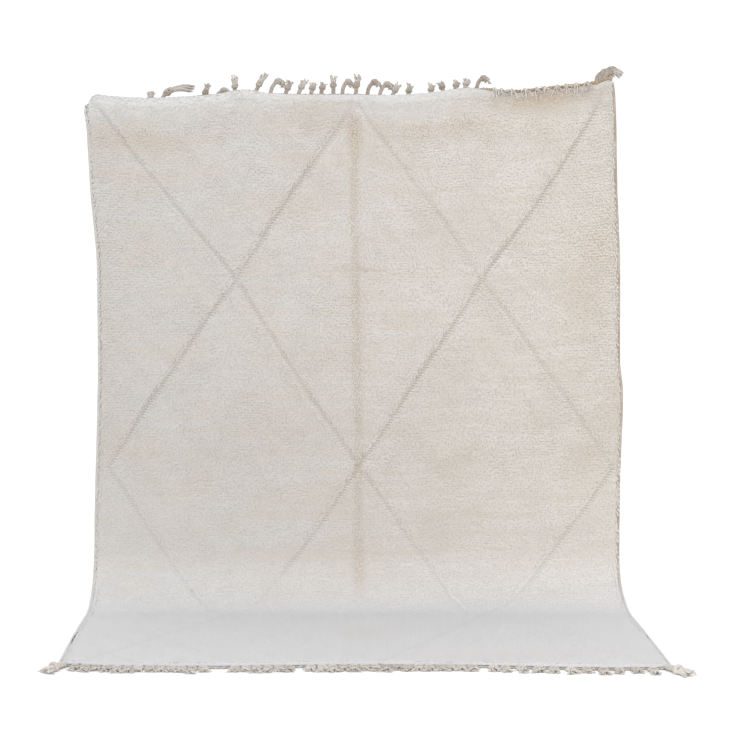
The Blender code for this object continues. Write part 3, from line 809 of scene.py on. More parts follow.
def size_locks(lock, settings, draw):
    """Set each lock's length, width and depth, and how far it is combed out or parted."""
    x, run, line, crease, rim = lock.x, lock.run, lock.line, lock.crease, lock.rim
    spread = 1 + draw.uniform(-0.12, 0.14, (3, len(x))) * (1 - 0.8 * line)
    lock.combed = smooth(0.4 + waves(6, 0.20, 0.70)(x, run)) * lock.calm * (1 - lock.rows)
    between_rows = 0.42 * lock.rows * (1 - crease) * (1 - rim) * (1 - lock.flat)
    lock.parting = np.maximum(line * (1 - lock.floor), between_rows)
    length = settings.lock_length * (1 + 0.15 * rim) * (1 - 0.50 * lock.parting)
    length = np.minimum(length * (1 - 0.15 * lock.bent) * spread[0], lock.room + FRONT_OVERHANG)
    # Locks of mixed lengths cover the top end, whose last rows are cut short.
    last = smooth(1 - (run + read(TOP_LINE, "turn", x)) / SHORT_REACH)
    lock.length = length * (1 - 0.65 * last * draw.uniform(0, 1, len(x)))
    width = settings.lock_width * (1.15 + 0.45 * line - 0.30 * lock.combed)
    lock.width = width * (1 - 0.45 * crease) * spread[1]
    lock.depth = settings.lock_depth * (0.2 + 0.8 * lock.calm) * spread[2]


def lay_locks(lock, draw):
    """Set the ways ahead, to the side and up of each lock, from its root to where its tip lies."""
    x, run, calm = lock.x, lock.run, lock.calm
    uneven = 0.0006 * waves(5, 0.05, 0.14)(x, run) + 0.0003 * draw.normal(size=len(x))
    uneven = uneven * (1 - lock.line) * calm - 0.0012 * lock.crease * lock.stroke
    height = body_height(x, run) - ROOT_DEPTH + RIM_LIFT * lock.rim + 0.0012 * lock.front
    point, out = weave(x, run)
    lock.root = point + out * height[:, None]
    # A lock's tip lies at the pile's top; those at the sides lie over the side cords.
    x = x + lock.length * (lock.forward * lock.across).sum(1)
    run = run + lock.length * (lock.forward * lock.down).sum(1) / lock.stretch
    point, out = weave(x, run)
    height = pile_height(x, run) + uneven - lock.depth * 0.5 + RIM_LIFT * lock.rim
    height -= 0.0006 * lock.floor + 0.0005 * lock.bent
    lock.ahead = unit(point + out * height[:, None] - lock.root)
    lock.up = unit(np.cross(lock.ahead, np.cross(lock.normal, lock.ahead)))
    lock.side = np.cross(lock.up, lock.ahead)


def lock_points(lock, draw):
    """Each lock's root, the two corners of its tip, and its ridge."""
    root, ahead, length = lock.root, lock.ahead, lock.length
    # Locks end square where rows show, and in a point where the pile is brushed out.
    pointed = (1 - lock.parting) * (1 - 0.7 * lock.bent) * draw.uniform(0.4, 1.0, len(length))
    tip = root + ahead * (length * (1 - 0.28 * pointed))[:, None]
    half = lock.side * (lock.width * (1 + 0.1 * pointed) / 2)[:, None]
    # Shears don't cut square: one corner of a lock's tip lies further down than the other.
    aslant = draw.uniform(-0.13, 0.13, len(length)) * (1 - lock.line)
    half = half + ahead * (length * aslant)[:, None]
    ridge = root + ahead * (length * (0.82 + 0.26 * pointed))[:, None]
    ridge = ridge + lock.up * (lock.depth * (1 - 0.35 * pointed))[:, None]
    lock.pointed = pointed
    return np.stack([root, tip - half, tip + half, ridge], 1)


def lock_normals(lock):
    """How each lock's corners are shaded, so that it looks round.

    Over the bend and at the rim, wool stands in all ways and is lit as if it faced forward.
    """
    facing = np.maximum(np.maximum(lock.bent, 0.7 * lock.front), 0.8 * lock.rim)
    base = unit(lock.normal + np.array((0.0, -1.0, 0.0)) * facing[:, None])
    turned = base + lock.ahead * (LOCK_ROUNDNESS * lock.calm * (1 + 1.5 * lock.parting))[:, None]
    bulge = LOCK_ROUNDNESS * lock.calm * (0.2 + lock.combed + 3.0 * lock.crease)
    edge = lock.side * bulge[:, None]
    crown = unit(base + (turned - base) * lock.pointed[:, None])
    return np.stack([base, unit(turned - edge), unit(turned + edge), crown], 1)


def lock_marks(lock):
    """Places of the locks' corners for the material: across, down, and from root to tip."""
    places = np.stack([lock.x, lock.run, np.zeros_like(lock.x)], -1)[:, None].repeat(4, 1)
    places[..., 2] = np.array((0.0, 1.0, 1.0, 0.8))
    places[:, 1, 0] -= lock.width / 2
    places[:, 2, 0] += lock.width / 2
    places[:, 1:, 1] += lock.length[:, None]
    return places


def make_pile(settings):
    """Cut locks of wool, each a four-cornered wedge that leans over the rows below it."""
    draw = np.random.default_rng(SEED)
    lock = root_locks(settings, draw)
    lean_locks(lock, draw)
    size_locks(lock, settings, draw)
    lay_locks(lock, draw)
    points = lock_points(lock, draw)
    normals, places = lock_normals(lock), lock_marks(lock)
    # Tones run from 0 to 1, and past both for the painted shade and painted highlight of the lattice
    # lines low down.
    painted_shade, painted_highlight = low_lines(lock.x, lock.run)
    tones = draw.uniform(0, 1, len(points)) * (1 - painted_shade) - painted_shade
    tones = tones + (2 - tones) * painted_highlight
    # In the crease the soil gathers on the strokes, whose locks sink apart: real soil, deepened there
    # as painted shade in the gaps.
    soil = soil_at(lock.x, lock.run) * (1 - lock.crease + lock.crease * 1.9 * lock.stroke ** 2)
    material = wool(brushed_wool_pile, settings)
    shell = np.array(((0, 2, 1), (0, 1, 3), (0, 3, 2), (1, 2, 3)))
    shares = np.array_split(np.argsort(lock.row, kind="stable"), PILE_PIECES)
    for number, part in enumerate(shares, 1):
        faces = (np.arange(len(part))[:, None, None] * 4 + shell).reshape(-1, 3)
        piece = new_piece(f"pile_{number}", points[part].reshape(-1, 3), faces, material,
                          places[part].reshape(-1, 3), tones[part].repeat(4), soil[part].repeat(4),
                          normals[part].reshape(-1, 3))
        fit_out(piece, "pile")


# ---------------------------------------------------------------- side and end cords

def make_selvedge(settings, side):
    """A side cord whose overcast wraps lie aslant, one after another."""
    way = -1 if side == "left" else 1
    sides = settings.cord_sides
    spacing = settings.wrap_pitch / 3
    levels = level_at(0.0, np.arange(0.0, float(front_end()), spacing))
    turned = float(read(TOP_LINE, "turn", side_at(np.zeros(1), side))[0])
    bent = -np.arange(round(turned / spacing), 0, -1) * spacing / turned
    levels = np.concatenate([bent, levels, [4.0]])
    x = side_at(levels, side)
    point, out = weave(x, run_at(x, levels))
    path = point + out * (SELVEDGE_HEIGHT / 2 + SEAT_GAP)
    # The wraps bite round the sheet's last warps.
    path[:, 0] += way * (SELVEDGE_WIDTH / 2 - WRAP_BITE)
    along = lengths(path)[:, None]
    wrap = np.cos(2 * math.pi * along / settings.wrap_pitch + way * turns_round(sides))
    uneven = 1 + 0.10 * wrap + 0.05 * np.sin(along * 61) * np.sin(along * 23 + 1)
    taper = np.sqrt(np.clip(np.minimum(along, along[-1] - along) / CORD_TAPER, 0.05, 1.0))
    shell, faces, places = tube(path, (1, 0, 0), SELVEDGE_WIDTH / 2 * uneven * taper, sides,
                                SELVEDGE_HEIGHT / SELVEDGE_WIDTH, CORD_TIP)
    heap = Heap()
    heap.add(shell, faces, places, np.concatenate([(0.5 + 0.5 * wrap).ravel(), [0.5, 0.5]]))
    # Hung up, the left side is hardly soiled.
    worn = (1 - lying(x, run_at(x, levels))) * (0.35 if side == "left" else 1.0)
    material = wool(overcast_wool_cord, settings)
    piece = heap.piece(f"selvedge_{side}_overcast", material, for_tube(worn, sides))
    fit_out(piece, "selvedge", f"selvedge_{side}")


def end_frame(x, top):
    """Weave's edge at one end: its points, the way off the rug and the way to the pile."""
    if top:
        turn = read(TOP_LINE, "turn", x)
        point, out = weave(x, -turn)
        angle = turn / BEND_RADIUS
        return point, np.stack([np.zeros_like(angle), np.sin(angle), np.cos(angle)], -1), out
    point, out = weave(x, front_end(x))
    return point, np.broadcast_to((0.0, -1.0, 0.0), point.shape), out


def cord_line(x, top):
    """Middle of the end cord, the way off the rug and the way to the pile."""
    point, away, out = end_frame(x, top)
    gap = TOP_CORD_GAP if top else SEAT_GAP
    low = TOP_CORD_LOW if top else 0.0
    return point + away * (gap + CORD_WIDTH / 2) + out * (low + CORD_HEIGHT / 2), away, out


def make_end_cord(settings, name, solid, top):
    """Two plied yarns twined over the warps along one end."""
    left, right = sides_at(np.array(0.0 if top else 4.0))
    turns = (right - left) / settings.twine_pitch
    share = np.linspace(0.0, 1.0, round(turns * 10))
    x = left + (right - left) * share
    line, away, out = cord_line(x, top)
    # Where the end doesn't fold back, at the right, the cord is soiled and its ply has swollen.
    shown = ramp(x, SHOWN_CORD) if top else np.zeros_like(x)
    heap = Heap()
    for strand in range(STRANDS):
        angle = 2 * math.pi * turns * share + math.pi * strand
        uneven = 1 + (0.15 + 0.10 * shown) * np.sin(share * 157 + 2 * strand)
        swing = STRAND_SWING * (1 + 0.9 * shown) * uneven
        path = line + (away + out) * (STRAND_LIFT * shown)[:, None]
        path = path + away * (np.cos(angle) * swing)[:, None] + out * (np.sin(angle) * swing)[:, None]
        radii = STRAND_RADIUS * (1 + 0.8 * shown) * uneven
        tone = (0.35 if top else 0.50) + 0.4 * strand
        heap.add(*tube(path, (0, 0, 1), radii, STRAND_SIDES), tone)
    soil = np.tile(for_tube(shown, STRAND_SIDES), STRANDS)
    fit_out(heap.piece(name, wool(plied_warp_yarn, settings), soil), "fringe", solid)


# ---------------------------------------------------------------- tassels

def tassel_path(tassel):
    """Four control points of a tassel's middle line, from its root on the end cord."""
    top = tassel.kind not in ON_FLOOR
    line, away, out = (row[0] for row in cord_line(np.array([tassel.x]), top))
    root = line + away * CORD_WIDTH / 2
    rise, lean = tassel.rise, tassel.lean
    if not top:
        # The corner tassels stand higher, on yarns that double back under them.
        lift = CORNER_LIFT if tassel.kind == "corner" else 0.0
        return np.array([root + away * rise * ahead + (lean * aside, 0, lift * up)
                         for ahead, aside, up in FLOOR_COURSE])
    if tassel.kind == "forward":
        face = HANG_Y - float(swell(tassel.x, root[2])) - FORWARD_CLEARANCE
        return np.array([root, root + away * FORWARD_LEAD + out * FORWARD_LEAD_OUT,
                         (root[0] + lean * 0.5, face - FORWARD_SWING, root[2] + FORWARD_CREST),
                         (root[0] + lean, face, root[2] - rise)])
    course = COURSES[tassel.kind]
    return np.array([
        root,
        root + away * course.lead + (0, course.lead_back, rise * course.lead_rise),
        root + (lean * course.mid_lean, course.mid_back, rise * course.mid_rise),
        root + (lean, course.back, rise * course.rise),
    ])


class TasselYarns:
    """The warp yarns of one tassel, which lie round its middle line."""

    def __init__(self, heap, settings, tassel, draw):
        self.heap, self.settings, self.tassel, self.draw = heap, settings, tassel, draw
        self.path = bezier(tassel_path(tassel), np.linspace(0.0, 1.0, TASSEL_STEPS + 1))
        _, self.side, self.up = carried_frame(self.path, (1, 0, 0))
        self.start, self.stop, self.fraying = KNOTS[tassel.kind]
        self.loose = loose = tassel.kind == "forward"
        self.floor = floor = tassel.kind in ON_FLOOR
        self.yarn = settings.yarn_radius * tassel.size * (0.95 if loose else 1.15 if floor else 1.25)
        self.wide = 2.1 if tassel.kind == "floor" else 1.15
        self.tone = draw.uniform(0.30, 0.60) + (0.40 if loose else 0.25 if floor else 0.0)
        self.deep = 0.0 if loose or floor else 0.25

    def put(self, line, radii, sides, paler=0.0):
        """Add a yarn along a line, which lies no lower than on the floor."""
        line[:, 2] = np.maximum(line[:, 2], radii)
        shade = min(max(self.tone + paler + self.draw.uniform(-0.12, 0.12), 0.0), 1.0)
        self.heap.add(*tube(line, (1, 0.05, 0.02), radii, sides), shade, YARN_LOWEST)

    def around(self, at, angle, swing):
        """Points round the middle line at steps along it, which needn't be whole."""
        steps = np.arange(TASSEL_STEPS + 1)
        middle, across, above = (np.stack([np.interp(at, steps, axis) for axis in of.T], -1)
                                 for of in (self.path, self.side, self.up))
        turned = across * self.wide * np.cos(angle)[:, None] + above * np.sin(angle)[:, None]
        return middle + turned * np.reshape(swing, (-1, 1))

    def twist_stem(self):
        """Yarns twisted together from the end cord to the knot."""
        count, yarn = self.settings.stem_yarns, self.yarn
        at = np.arange(-1.0, self.start + 3.0, 1.5)
        twist = np.maximum(at, 0) / TASSEL_STEPS * lengths(self.path)[-1] / self.settings.twist_pitch
        for k in range(count):
            line = self.around(at, 2 * math.pi * (k / count + twist), yarn * 1.2)
            self.put(line, np.full(len(at), yarn), 5, -self.deep)

    def tie_knot(self):
        """Two yarns wound over the stem in opposite ways."""
        start, stop, yarn = self.start, self.stop, self.yarn
        for k in range(2):
            turn = np.linspace(0.0, 1.0, 22)
            angle = 2 * math.pi * (self.draw.uniform(1.3, 1.7) * turn + k / 2) * (1 - 2 * k)
            swing = yarn * (1.5 if self.loose else 2.2)
            swing = swing * np.minimum(1.0, np.minimum(turn, 1 - turn) * 7 + 0.2)
            at = start + turn * (stop - start) + 1.6 * np.sin(angle + k)
            radii = yarn * (1.35 + 0.15 * np.sin(turn * 9 + k))
            self.put(self.around(at, angle, swing), radii, 6, -0.6 * self.deep)

    def spread_tails(self):
        """Yarn ends that stand apart below the knot."""
        settings, draw, stop, yarn, loose = self.settings, self.draw, self.stop, self.yarn, self.loose
        for k in range(6 if loose else settings.tails):
            turn = np.linspace(0.0, 1.0, 6)
            lean = 2 * math.pi * (k + draw.uniform(-0.3, 0.3)) / settings.tails
            reach = settings.tail_spread * self.tassel.size * draw.uniform(0.7, 1.15)
            reach *= (2.6 if loose else 1.1 if self.floor else 1.4) * (0.4 if k % 3 == 2 else 1.0)
            end = draw.uniform(self.fraying, 28 + 0.35 * self.fraying)
            swing = yarn + (reach - yarn) * turn
            angle = lean + 0.35 * np.sin(turn * draw.uniform(3, 7) + k)
            line = self.around(stop - 2 + turn * (end - stop + 2), angle, swing)
            radii = yarn * (0.65 if loose else 1.1 + 0.2 * np.sin(turn * 3) - 0.3 * turn)
            self.put(line, radii, 5, 0.15)
            self.fray(line)

    def fray(self, line):
        """Wisps at the end of a yarn."""
        draw, yarn, side, up = self.draw, self.yarn, self.side[-1], self.up[-1]
        way = unit(line[-1] - line[-2])
        sideways = 1.6 if self.floor else 0.8
        for _ in range(self.settings.frays):
            bend = side * draw.uniform(-sideways, sideways) + up * draw.uniform(-0.7, 0.7)
            size = self.settings.fray_length * self.tassel.size * draw.uniform(0.6, 1.2)
            wisp = line[-1] - way * yarn * 1.5 + (way + bend) * (np.linspace(0, 1, 3) * size)[:, None]
            wisp[-1] += (up * draw.uniform(-0.3, 0.3) + side * draw.uniform(-0.3, 0.3)) * size
            self.put(wisp, yarn * np.array((0.75, 0.6, 0.12)), 3, 0.30)


def top_tassels():
    """The tassels that show at the top end, and the stretches between them."""
    draw = random.Random(SEED)
    tassels = list(TOP_TASSELS)
    for stretch in TOP_STRETCHES:
        start, end = stretch.x
        for k in range(int((end - start) / TOP_PITCH) + 1):
            lean = draw.uniform(-0.006, 0.006)
            rise = stretch.rise * draw.uniform(0.8, 1.15)
            x = start + k * TOP_PITCH
            if stretch.kind == "forward":
                x += draw.uniform(-0.007, 0.007)
                lean += draw.uniform(-0.012, 0.016)
                rise = stretch.rise * draw.uniform(0.45, 1.20)
            tassels.append(stretch._replace(x=x, rise=rise, lean=lean))
    return tassels


def front_tassels():
    """Tassels along the front end, splayed at the corners, with a few missing."""
    draw = random.Random(SEED + 1)
    left, right = SIDES[-1].left, SIDES[-1].right
    tassels = [Tassel(left + CORNER_INSET, "corner", CORNER_LENGTH, -0.050, CORNER_SIZE),
               Tassel(right - CORNER_INSET, "corner", CORNER_LENGTH, 0.060, CORNER_SIZE)]
    x = left + FIRST_TASSEL
    while x < right - FIRST_TASSEL:
        rise = FRONT_LENGTH * draw.uniform(0.75, 1.25)
        lean = draw.uniform(-0.008, 0.008)
        if all(abs(x - gap) > GAP_REACH for gap in FRONT_GAPS):
            tassels.append(Tassel(x, "floor", rise, lean))
        x += FRONT_PITCH_LEFT if x < FRONT_PITCH_CHANGE else FRONT_PITCH_RIGHT
    return tassels


def make_tassels(settings, name, solid, tassels):
    """All the tassels of one end as one piece."""
    heap = Heap()
    draw = random.Random(SEED + len(name))
    for tassel in tassels:
        yarns = TasselYarns(heap, settings, tassel, draw)
        yarns.twist_stem()
        yarns.tie_knot()
        yarns.spread_tails()
    fit_out(heap.piece(name, wool(plied_warp_yarn, settings)), "fringe", solid)


# ---------------------------------------------------------------- materials

COLOUR = {"data_type": "RGBA"}                  # a mix of two colours
SOFT = {"interpolation_type": "SMOOTHSTEP"}     # from one range to another, with soft ends
TIMES = {"operation": "MULTIPLY"}
WAVE_BAND = 0.31416                             # width of a wave texture's band at scale 1
# Runs, down from the bend, between which the wool's colour changes.
TOP_BAND = (0.01, 0.11)                         # painted highlight where the cloth turns up at the bend, fading downwards
PAINTED_LIFT = (1.25, 2.15)                             # painted light: brighter low on the fall and over the sweep, against the shade there
SWEEP = (1.80, 2.35)                            # from the hanging wool's colours to the floor's, whose cool grey is partly painted light
BODY_SWEEP = (1.40, 2.18)                       # the same for the dense body under the locks
FLOOR_GREY = (2.10, 2.50)                       # greyer on the floor, to the left
PAINTED_LIFT_END = (2.30, 2.55)                      # where the painted light ends, on the floor
# Places across between which the wool on the floor turns grey, and ivory turns warm, partly as painted
# light.
GREY_SIDE = (0.5, -0.6)
WARM_SIDE = (-1.0, 1.0)


def fill(tree, made, inputs):
    """Set or link a node's inputs, by name or else from its first socket in use on."""
    if not isinstance(inputs, dict):
        inputs = dict(zip([n for n, socket in enumerate(made.inputs) if socket.enabled], inputs))
    for name, value in inputs.items():
        socket = made.inputs[name]
        if isinstance(value, bpy.types.NodeSocket):
            tree.links.new(value, socket)
        else:
            socket.default_value = (*value, 1) if socket.type == "RGBA" else value


def node(tree, kind, inputs, output=None, **settings):
    """Add a node with its settings and links, and give a named output or its first in use."""
    made = tree.nodes.new("ShaderNode" + kind)
    for name, value in settings.items():
        setattr(made, name, value)
    fill(tree, made, inputs)
    return made.outputs[output] if output else next(s for s in made.outputs if s.enabled)


def lumps(tree, place, size, detail=2.0):
    """Noise whose lumps have these sizes in metres along the place's axes."""
    scaled = node(tree, "VectorMath", (place, tuple(1 / s for s in size)), **TIMES)
    return node(tree, "TexNoise", (scaled, 1.0, detail))


def new_wool(name):
    """A new material, its nodes, and the place, tone and soil that the mesh gives them."""
    material = bpy.data.materials.new(name)
    material.use_nodes = True
    tree = material.node_tree
    marks = [node(tree, "Attribute", (), output, attribute_type="GEOMETRY", attribute_name=mark)
             for mark, output in (("place", "Vector"), ("tone", "Fac"), ("soil", "Fac"))]
    return material, tree, *marks


def finish_wool(tree, colour, height, strength, distance, roughness, sheen):
    """Wool fibre: keratin, n = 1.55, rough and with the soft sheen of many fibre ends."""
    bump = node(tree, "Bump", {"Height": height, "Strength": strength, "Distance": distance})
    fill(tree, tree.nodes["Principled BSDF"], {
        "Base Color": colour, "Normal": bump, "IOR": 1.55, "Specular IOR Level": 0.18,
        "Roughness": roughness, "Sheen Weight": sheen, "Sheen Roughness": 0.55})


def wool(make, settings):
    """The wool material of a function's name, made when it is first needed."""
    return bpy.data.materials.get(make.__name__) or make(settings)


def mixed_fleece(tree, settings, place, x, run):
    """Ivory that warms to the right, partly as painted light, with streaks of cream fleece and a
    painted highlight near the bend.
    """
    # The cool to warm drift is partly the wool's own and partly painted light, cool from the left and
    # warm from the right.
    drift = node(tree, "MapRange", (x, *WARM_SIDE), **SOFT)
    colour = node(tree, "Mix", (drift, settings.cool_ivory, settings.warm_ivory), **COLOUR)
    # Long streaks of cream fleece, clouds of it, and short dashes along single rows.
    for size, low, high, most in (((0.55, 0.022, 1.0), 0.42, 0.68, 0.40),
                                  ((0.22, 0.16, 1.0), 0.35, 0.70, 0.35),
                                  ((0.035, 0.0048, 1.0), 0.55, 0.75, 0.55)):
        share = node(tree, "MapRange", (lumps(tree, place, size), low, high, 0.0, most), **SOFT)
        colour = node(tree, "Mix", (share, colour, settings.cream), **COLOUR)
    # Painted highlight on the band where the cloth turns up toward the light above.
    near_top = node(tree, "MapRange", (run, *TOP_BAND, 0.50, 0.0), **SOFT)
    return node(tree, "Mix", (near_top, colour, settings.fresh), **COLOUR)


def floor_fleece(tree, settings, x, run):
    """Wool of the part on the floor, cool grey partly as painted light from above, which greys to the
    left.
    """
    far_down = node(tree, "MapRange", (run, *FLOOR_GREY), **SOFT)
    far_left = node(tree, "MapRange", (x, *GREY_SIDE), **SOFT)
    greyed = node(tree, "Math", (far_down, far_left), **TIMES)
    return node(tree, "Mix", (greyed, settings.clean, settings.shaded), **COLOUR)


def brushed_wool_pile(settings):
    """Handspun undyed wool, knotted, cut and brushed.

    The eye gets a matt ivory with cream streaks along the rows, where one fleece ended
    and the next began, painted shade at the locks' feet, and a tan cast of soil and painted shade.
    """
    material, tree, place, tone, soil = new_wool("brushed_wool_pile")
    x, run, height = node(tree, "SeparateXYZ", (place,)).node.outputs
    hanging = node(tree, "MapRange", (run, *SWEEP, 1.0, 0.0), **SOFT)
    colour = node(tree, "Mix", (hanging, floor_fleece(tree, settings, x, run),
                                mixed_fleece(tree, settings, place, x, run)), **COLOUR)
    patchy = lumps(tree, place, (0.012, 0.005, 1.0), 1.0)
    patchy = node(tree, "MapRange", (patchy, 0.30, 0.65, 0.55, 1.0), **SOFT)
    # Soil, and in places painted shade, tints the wool tan.
    soiled = node(tree, "Math", (soil, patchy), **TIMES)
    colour = node(tree, "Mix", (soiled, colour, settings.soil), **COLOUR)
    # Painted light: the wool is made brighter low on the fall and over the sweep, where shade falls,
    # and back to its own tone on the floor.
    painted_lift = node(tree, "MapRange", (run, *PAINTED_LIFT, 1.0, 1.09), **SOFT)
    darker = node(tree, "MapRange", (run, *PAINTED_LIFT_END, 1.0, 0.918), **SOFT)
    painted_fall_light = node(tree, "Math", (painted_lift, darker), **TIMES)
    colour = node(tree, "HueSaturation", {"Value": painted_fall_light, "Color": colour})
    # Painted shade at a lock's foot, and tones past 0 and 1 give the pressed lattice lines painted
    # shade and painted highlight.
    value = node(tree, "MapRange", (height, 0.0, 0.75, 0.92, 1.0), **SOFT)
    for low, high, least, most in ((0.0, 1.0, 0.97, 1.02),
                                   (-1.0, 0.0, 0.42, 1.0),
                                   (1.0, 2.0, 1.0, 1.05)):
        change = node(tree, "MapRange", (tone, low, high, least, most), **SOFT)
        value = node(tree, "Math", (value, change), **TIMES)
    colour = node(tree, "HueSaturation", {"Value": value, "Color": colour})
    # Fibres are 0.03 mm thick; drawn 1.1 mm wide so that they show at all.
    finish_wool(tree, colour, lumps(tree, place, (0.0011, 0.011, 1.0)),
                strength=0.35, distance=0.0008, roughness=0.93, sheen=0.25)
    return material


def knotted_wool_weave(settings):
    """Wool wefts beaten down over the knots' backs.

    The eye gets fine ribs along the rows with a bead for each knot, in a flatter and
    slightly yellower ivory than the pile, with painted shade in the hollows.
    """
    material, tree, place, tone, soil = new_wool("knotted_wool_weave")
    _, run, back = node(tree, "SeparateXYZ", (place,)).node.outputs
    beads, ribs = (
        node(tree, "TexWave", (place, WAVE_BAND / pitch, uneven, 1.0), "Fac", bands_direction=way)
        for pitch, uneven, way in ((settings.lock_pitch, 0.6, "X"), (settings.row_pitch / 2, 0.4, "Y")))
    relief = node(tree, "Math", (beads, ribs), **TIMES)
    streaks = lumps(tree, place, (0.5, 0.02, 1.0))
    streaks = node(tree, "MapRange", (streaks, 0.35, 0.70, 0.0, 0.12), **SOFT)
    weave_colour = node(tree, "Mix", (streaks, settings.weave_light, settings.weave_dark), **COLOUR)
    # Painted shade: the hollows between ribs and beads take the darker weave colour.
    raised = node(tree, "MapRange", (relief, 0.0, 0.6, 0.55, 1.0), **SOFT)
    weave_colour = node(tree, "Mix", (raised, settings.weave_dark, weave_colour), **COLOUR)
    # The front is the pile's dense body, with painted shade for the knots' feet in the lattice lines,
    # the crease and between rows.
    pile = node(tree, "Mix", (tone, settings.pile_foot, settings.pile_body), **COLOUR)
    # On the floor the body turns to the floor's colour, whose cool grey is partly painted light.
    hanging = node(tree, "MapRange", (run, *BODY_SWEEP, 1.0, 0.35), **SOFT)
    pile = node(tree, "Mix", (hanging, settings.clean, pile), **COLOUR)
    # Painted highlight on the band where the cloth turns up toward the light above.
    near_top = node(tree, "MapRange", (run, *TOP_BAND, 0.70, 0.0), **SOFT)
    pile = node(tree, "Mix", (near_top, pile, settings.fresh), **COLOUR)
    colour = node(tree, "Mix", (back, pile, weave_colour), **COLOUR)
    colour = node(tree, "Mix", (soil, colour, settings.soil), **COLOUR)
    finish_wool(tree, colour, relief, strength=0.6, distance=0.0015, roughness=0.95, sheen=0.15)
    return material


def overcast_wool_cord(settings):
    """Grey-beige wool wound over the side warps.

    The eye gets slanting wraps, darker where they meet and soiled where the rug hangs.
    """
    material, tree, place, tone, soil = new_wool("overcast_wool_cord")
    wraps = node(tree, "MapRange", (tone, 0.05, 0.75), **SOFT)
    colour = node(tree, "Mix", (wraps, settings.cord_dark, settings.cord_light), **COLOUR)
    wear = node(tree, "MapRange", (lumps(tree, place, (2.0, 0.09, 1.0)), 0.35, 0.7), **SOFT)
    wear = node(tree, "Math", (wear, 0.35), **TIMES)
    colour = node(tree, "Mix", (wear, colour, settings.yarn_light), **COLOUR)
    colour = node(tree, "Mix", (soil, settings.cord_clean, colour), **COLOUR)
    finish_wool(tree, colour, lumps(tree, place, (0.05, 0.0012, 1.0)),
                strength=0.4, distance=0.0006, roughness=0.92, sheen=0.2)
    return material


def plied_warp_yarn(settings):
    """Handspun wool and cotton warp, plied, knotted and left to fray.

    The eye gets beige yarn with the slant of its ply, paler where it frays.
    """
    material, tree, place, tone, soil = new_wool("plied_warp_yarn")
    around, along, _ = node(tree, "SeparateXYZ", (place,)).node.outputs
    turns = node(tree, "Math", (along, 1 / settings.ply_pitch), **TIMES)
    phase = node(tree, "Math", (turns, around), operation="ADD")
    ply = node(tree, "Math", (node(tree, "Math", (phase, 2 * math.pi), **TIMES),), operation="SINE")
    colour = node(tree, "Mix", (tone, settings.yarn_dark, settings.yarn_light), **COLOUR)
    colour = node(tree, "Mix", (soil, colour, settings.yarn_soiled), **COLOUR)
    shade = node(tree, "MapRange", (ply, -1.0, 0.4, 0.80, 1.0), **SOFT)
    colour = node(tree, "HueSaturation", {"Value": shade, "Color": colour})
    finish_wool(tree, colour, ply, strength=0.5, distance=0.0008, roughness=0.9, sheen=0.2)
    return material


def matt_white_paint(settings):
    """Studio paint, rolled: matt, even and with a faint mottle."""
    material = bpy.data.materials.new("matt_white_paint")
    material.use_nodes = True
    tree = material.node_tree
    mottle = lumps(tree, node(tree, "TexCoord", (), "Object"), (0.6, 0.6, 1.0))
    mottle = node(tree, "MapRange", (mottle, 0.3, 0.7, 0.985, 1.0), **SOFT)
    colour = node(tree, "HueSaturation", {"Value": mottle, "Color": settings.floor})
    fill(tree, tree.nodes["Principled BSDF"], {
        "Base Color": colour, "Roughness": 0.9, "Specular IOR Level": 0.1})
    return material


# ---------------------------------------------------------------- stage

def make_stage(settings):
    """White floor, soft lights from the upper left, the right and above, and the camera."""
    size = settings.floor_size / 2
    mesh = bpy.data.meshes.new("studio_floor")
    corners = [(-size, -size, 0), (size, -size, 0), (size, size, 0), (-size, size, 0)]
    mesh.from_pydata(corners, [], [(0, 1, 2, 3)])
    mesh.materials.append(matt_white_paint(settings))
    floor = in_scene("studio_floor", mesh)
    floor.location.z = -FLOOR_GAP

    world = bpy.data.worlds.new("studio")
    world.use_nodes = True
    fill(world.node_tree, world.node_tree.nodes["Background"],
         {"Color": settings.sky, "Strength": settings.sky_strength})
    bpy.context.scene.world = world

    aim = Vector((MIDDLE_X, HANG_Y, 1.0))
    for name, width in (("key", 2.6), ("fill", 3.0), ("overhead", 6.0)):
        light = bpy.data.lights.new(name + "_softbox", "AREA")
        light.shape = "DISK"
        light.size = width
        light.energy = getattr(settings, name + "_power")
        light.color = getattr(settings, name + "_colour")
        lamp = in_scene(name + "_softbox", light)
        lamp.location = getattr(settings, name + "_place")
        lamp.rotation_euler = (aim - lamp.location).to_track_quat("-Z", "Y").to_euler()

    view = bpy.data.cameras.new("view")
    view.lens = settings.lens
    view.sensor_width = 36.0
    camera = in_scene("view", view)
    camera.location = settings.camera_place
    camera.rotation_euler = (math.pi / 2 - settings.camera_pitch, 0, 0)
    bpy.context.scene.camera = camera
    bpy.context.scene.view_settings.view_transform = "Standard"


# ---------------------------------------------------------------- add-on

def colour_property(name, description, code):
    """A colour of the sidebar, from an sRGB hex code."""
    return FloatVectorProperty(name=name, description=description, subtype="COLOR", size=3,
                               min=0.0, max=1.0, default=linear(code))


def length_property(name, description, default):
    """A length in metres, to a tenth of a millimetre."""
    return FloatProperty(name=name, description=description, subtype="DISTANCE", unit="LENGTH",
                         precision=4, default=default)


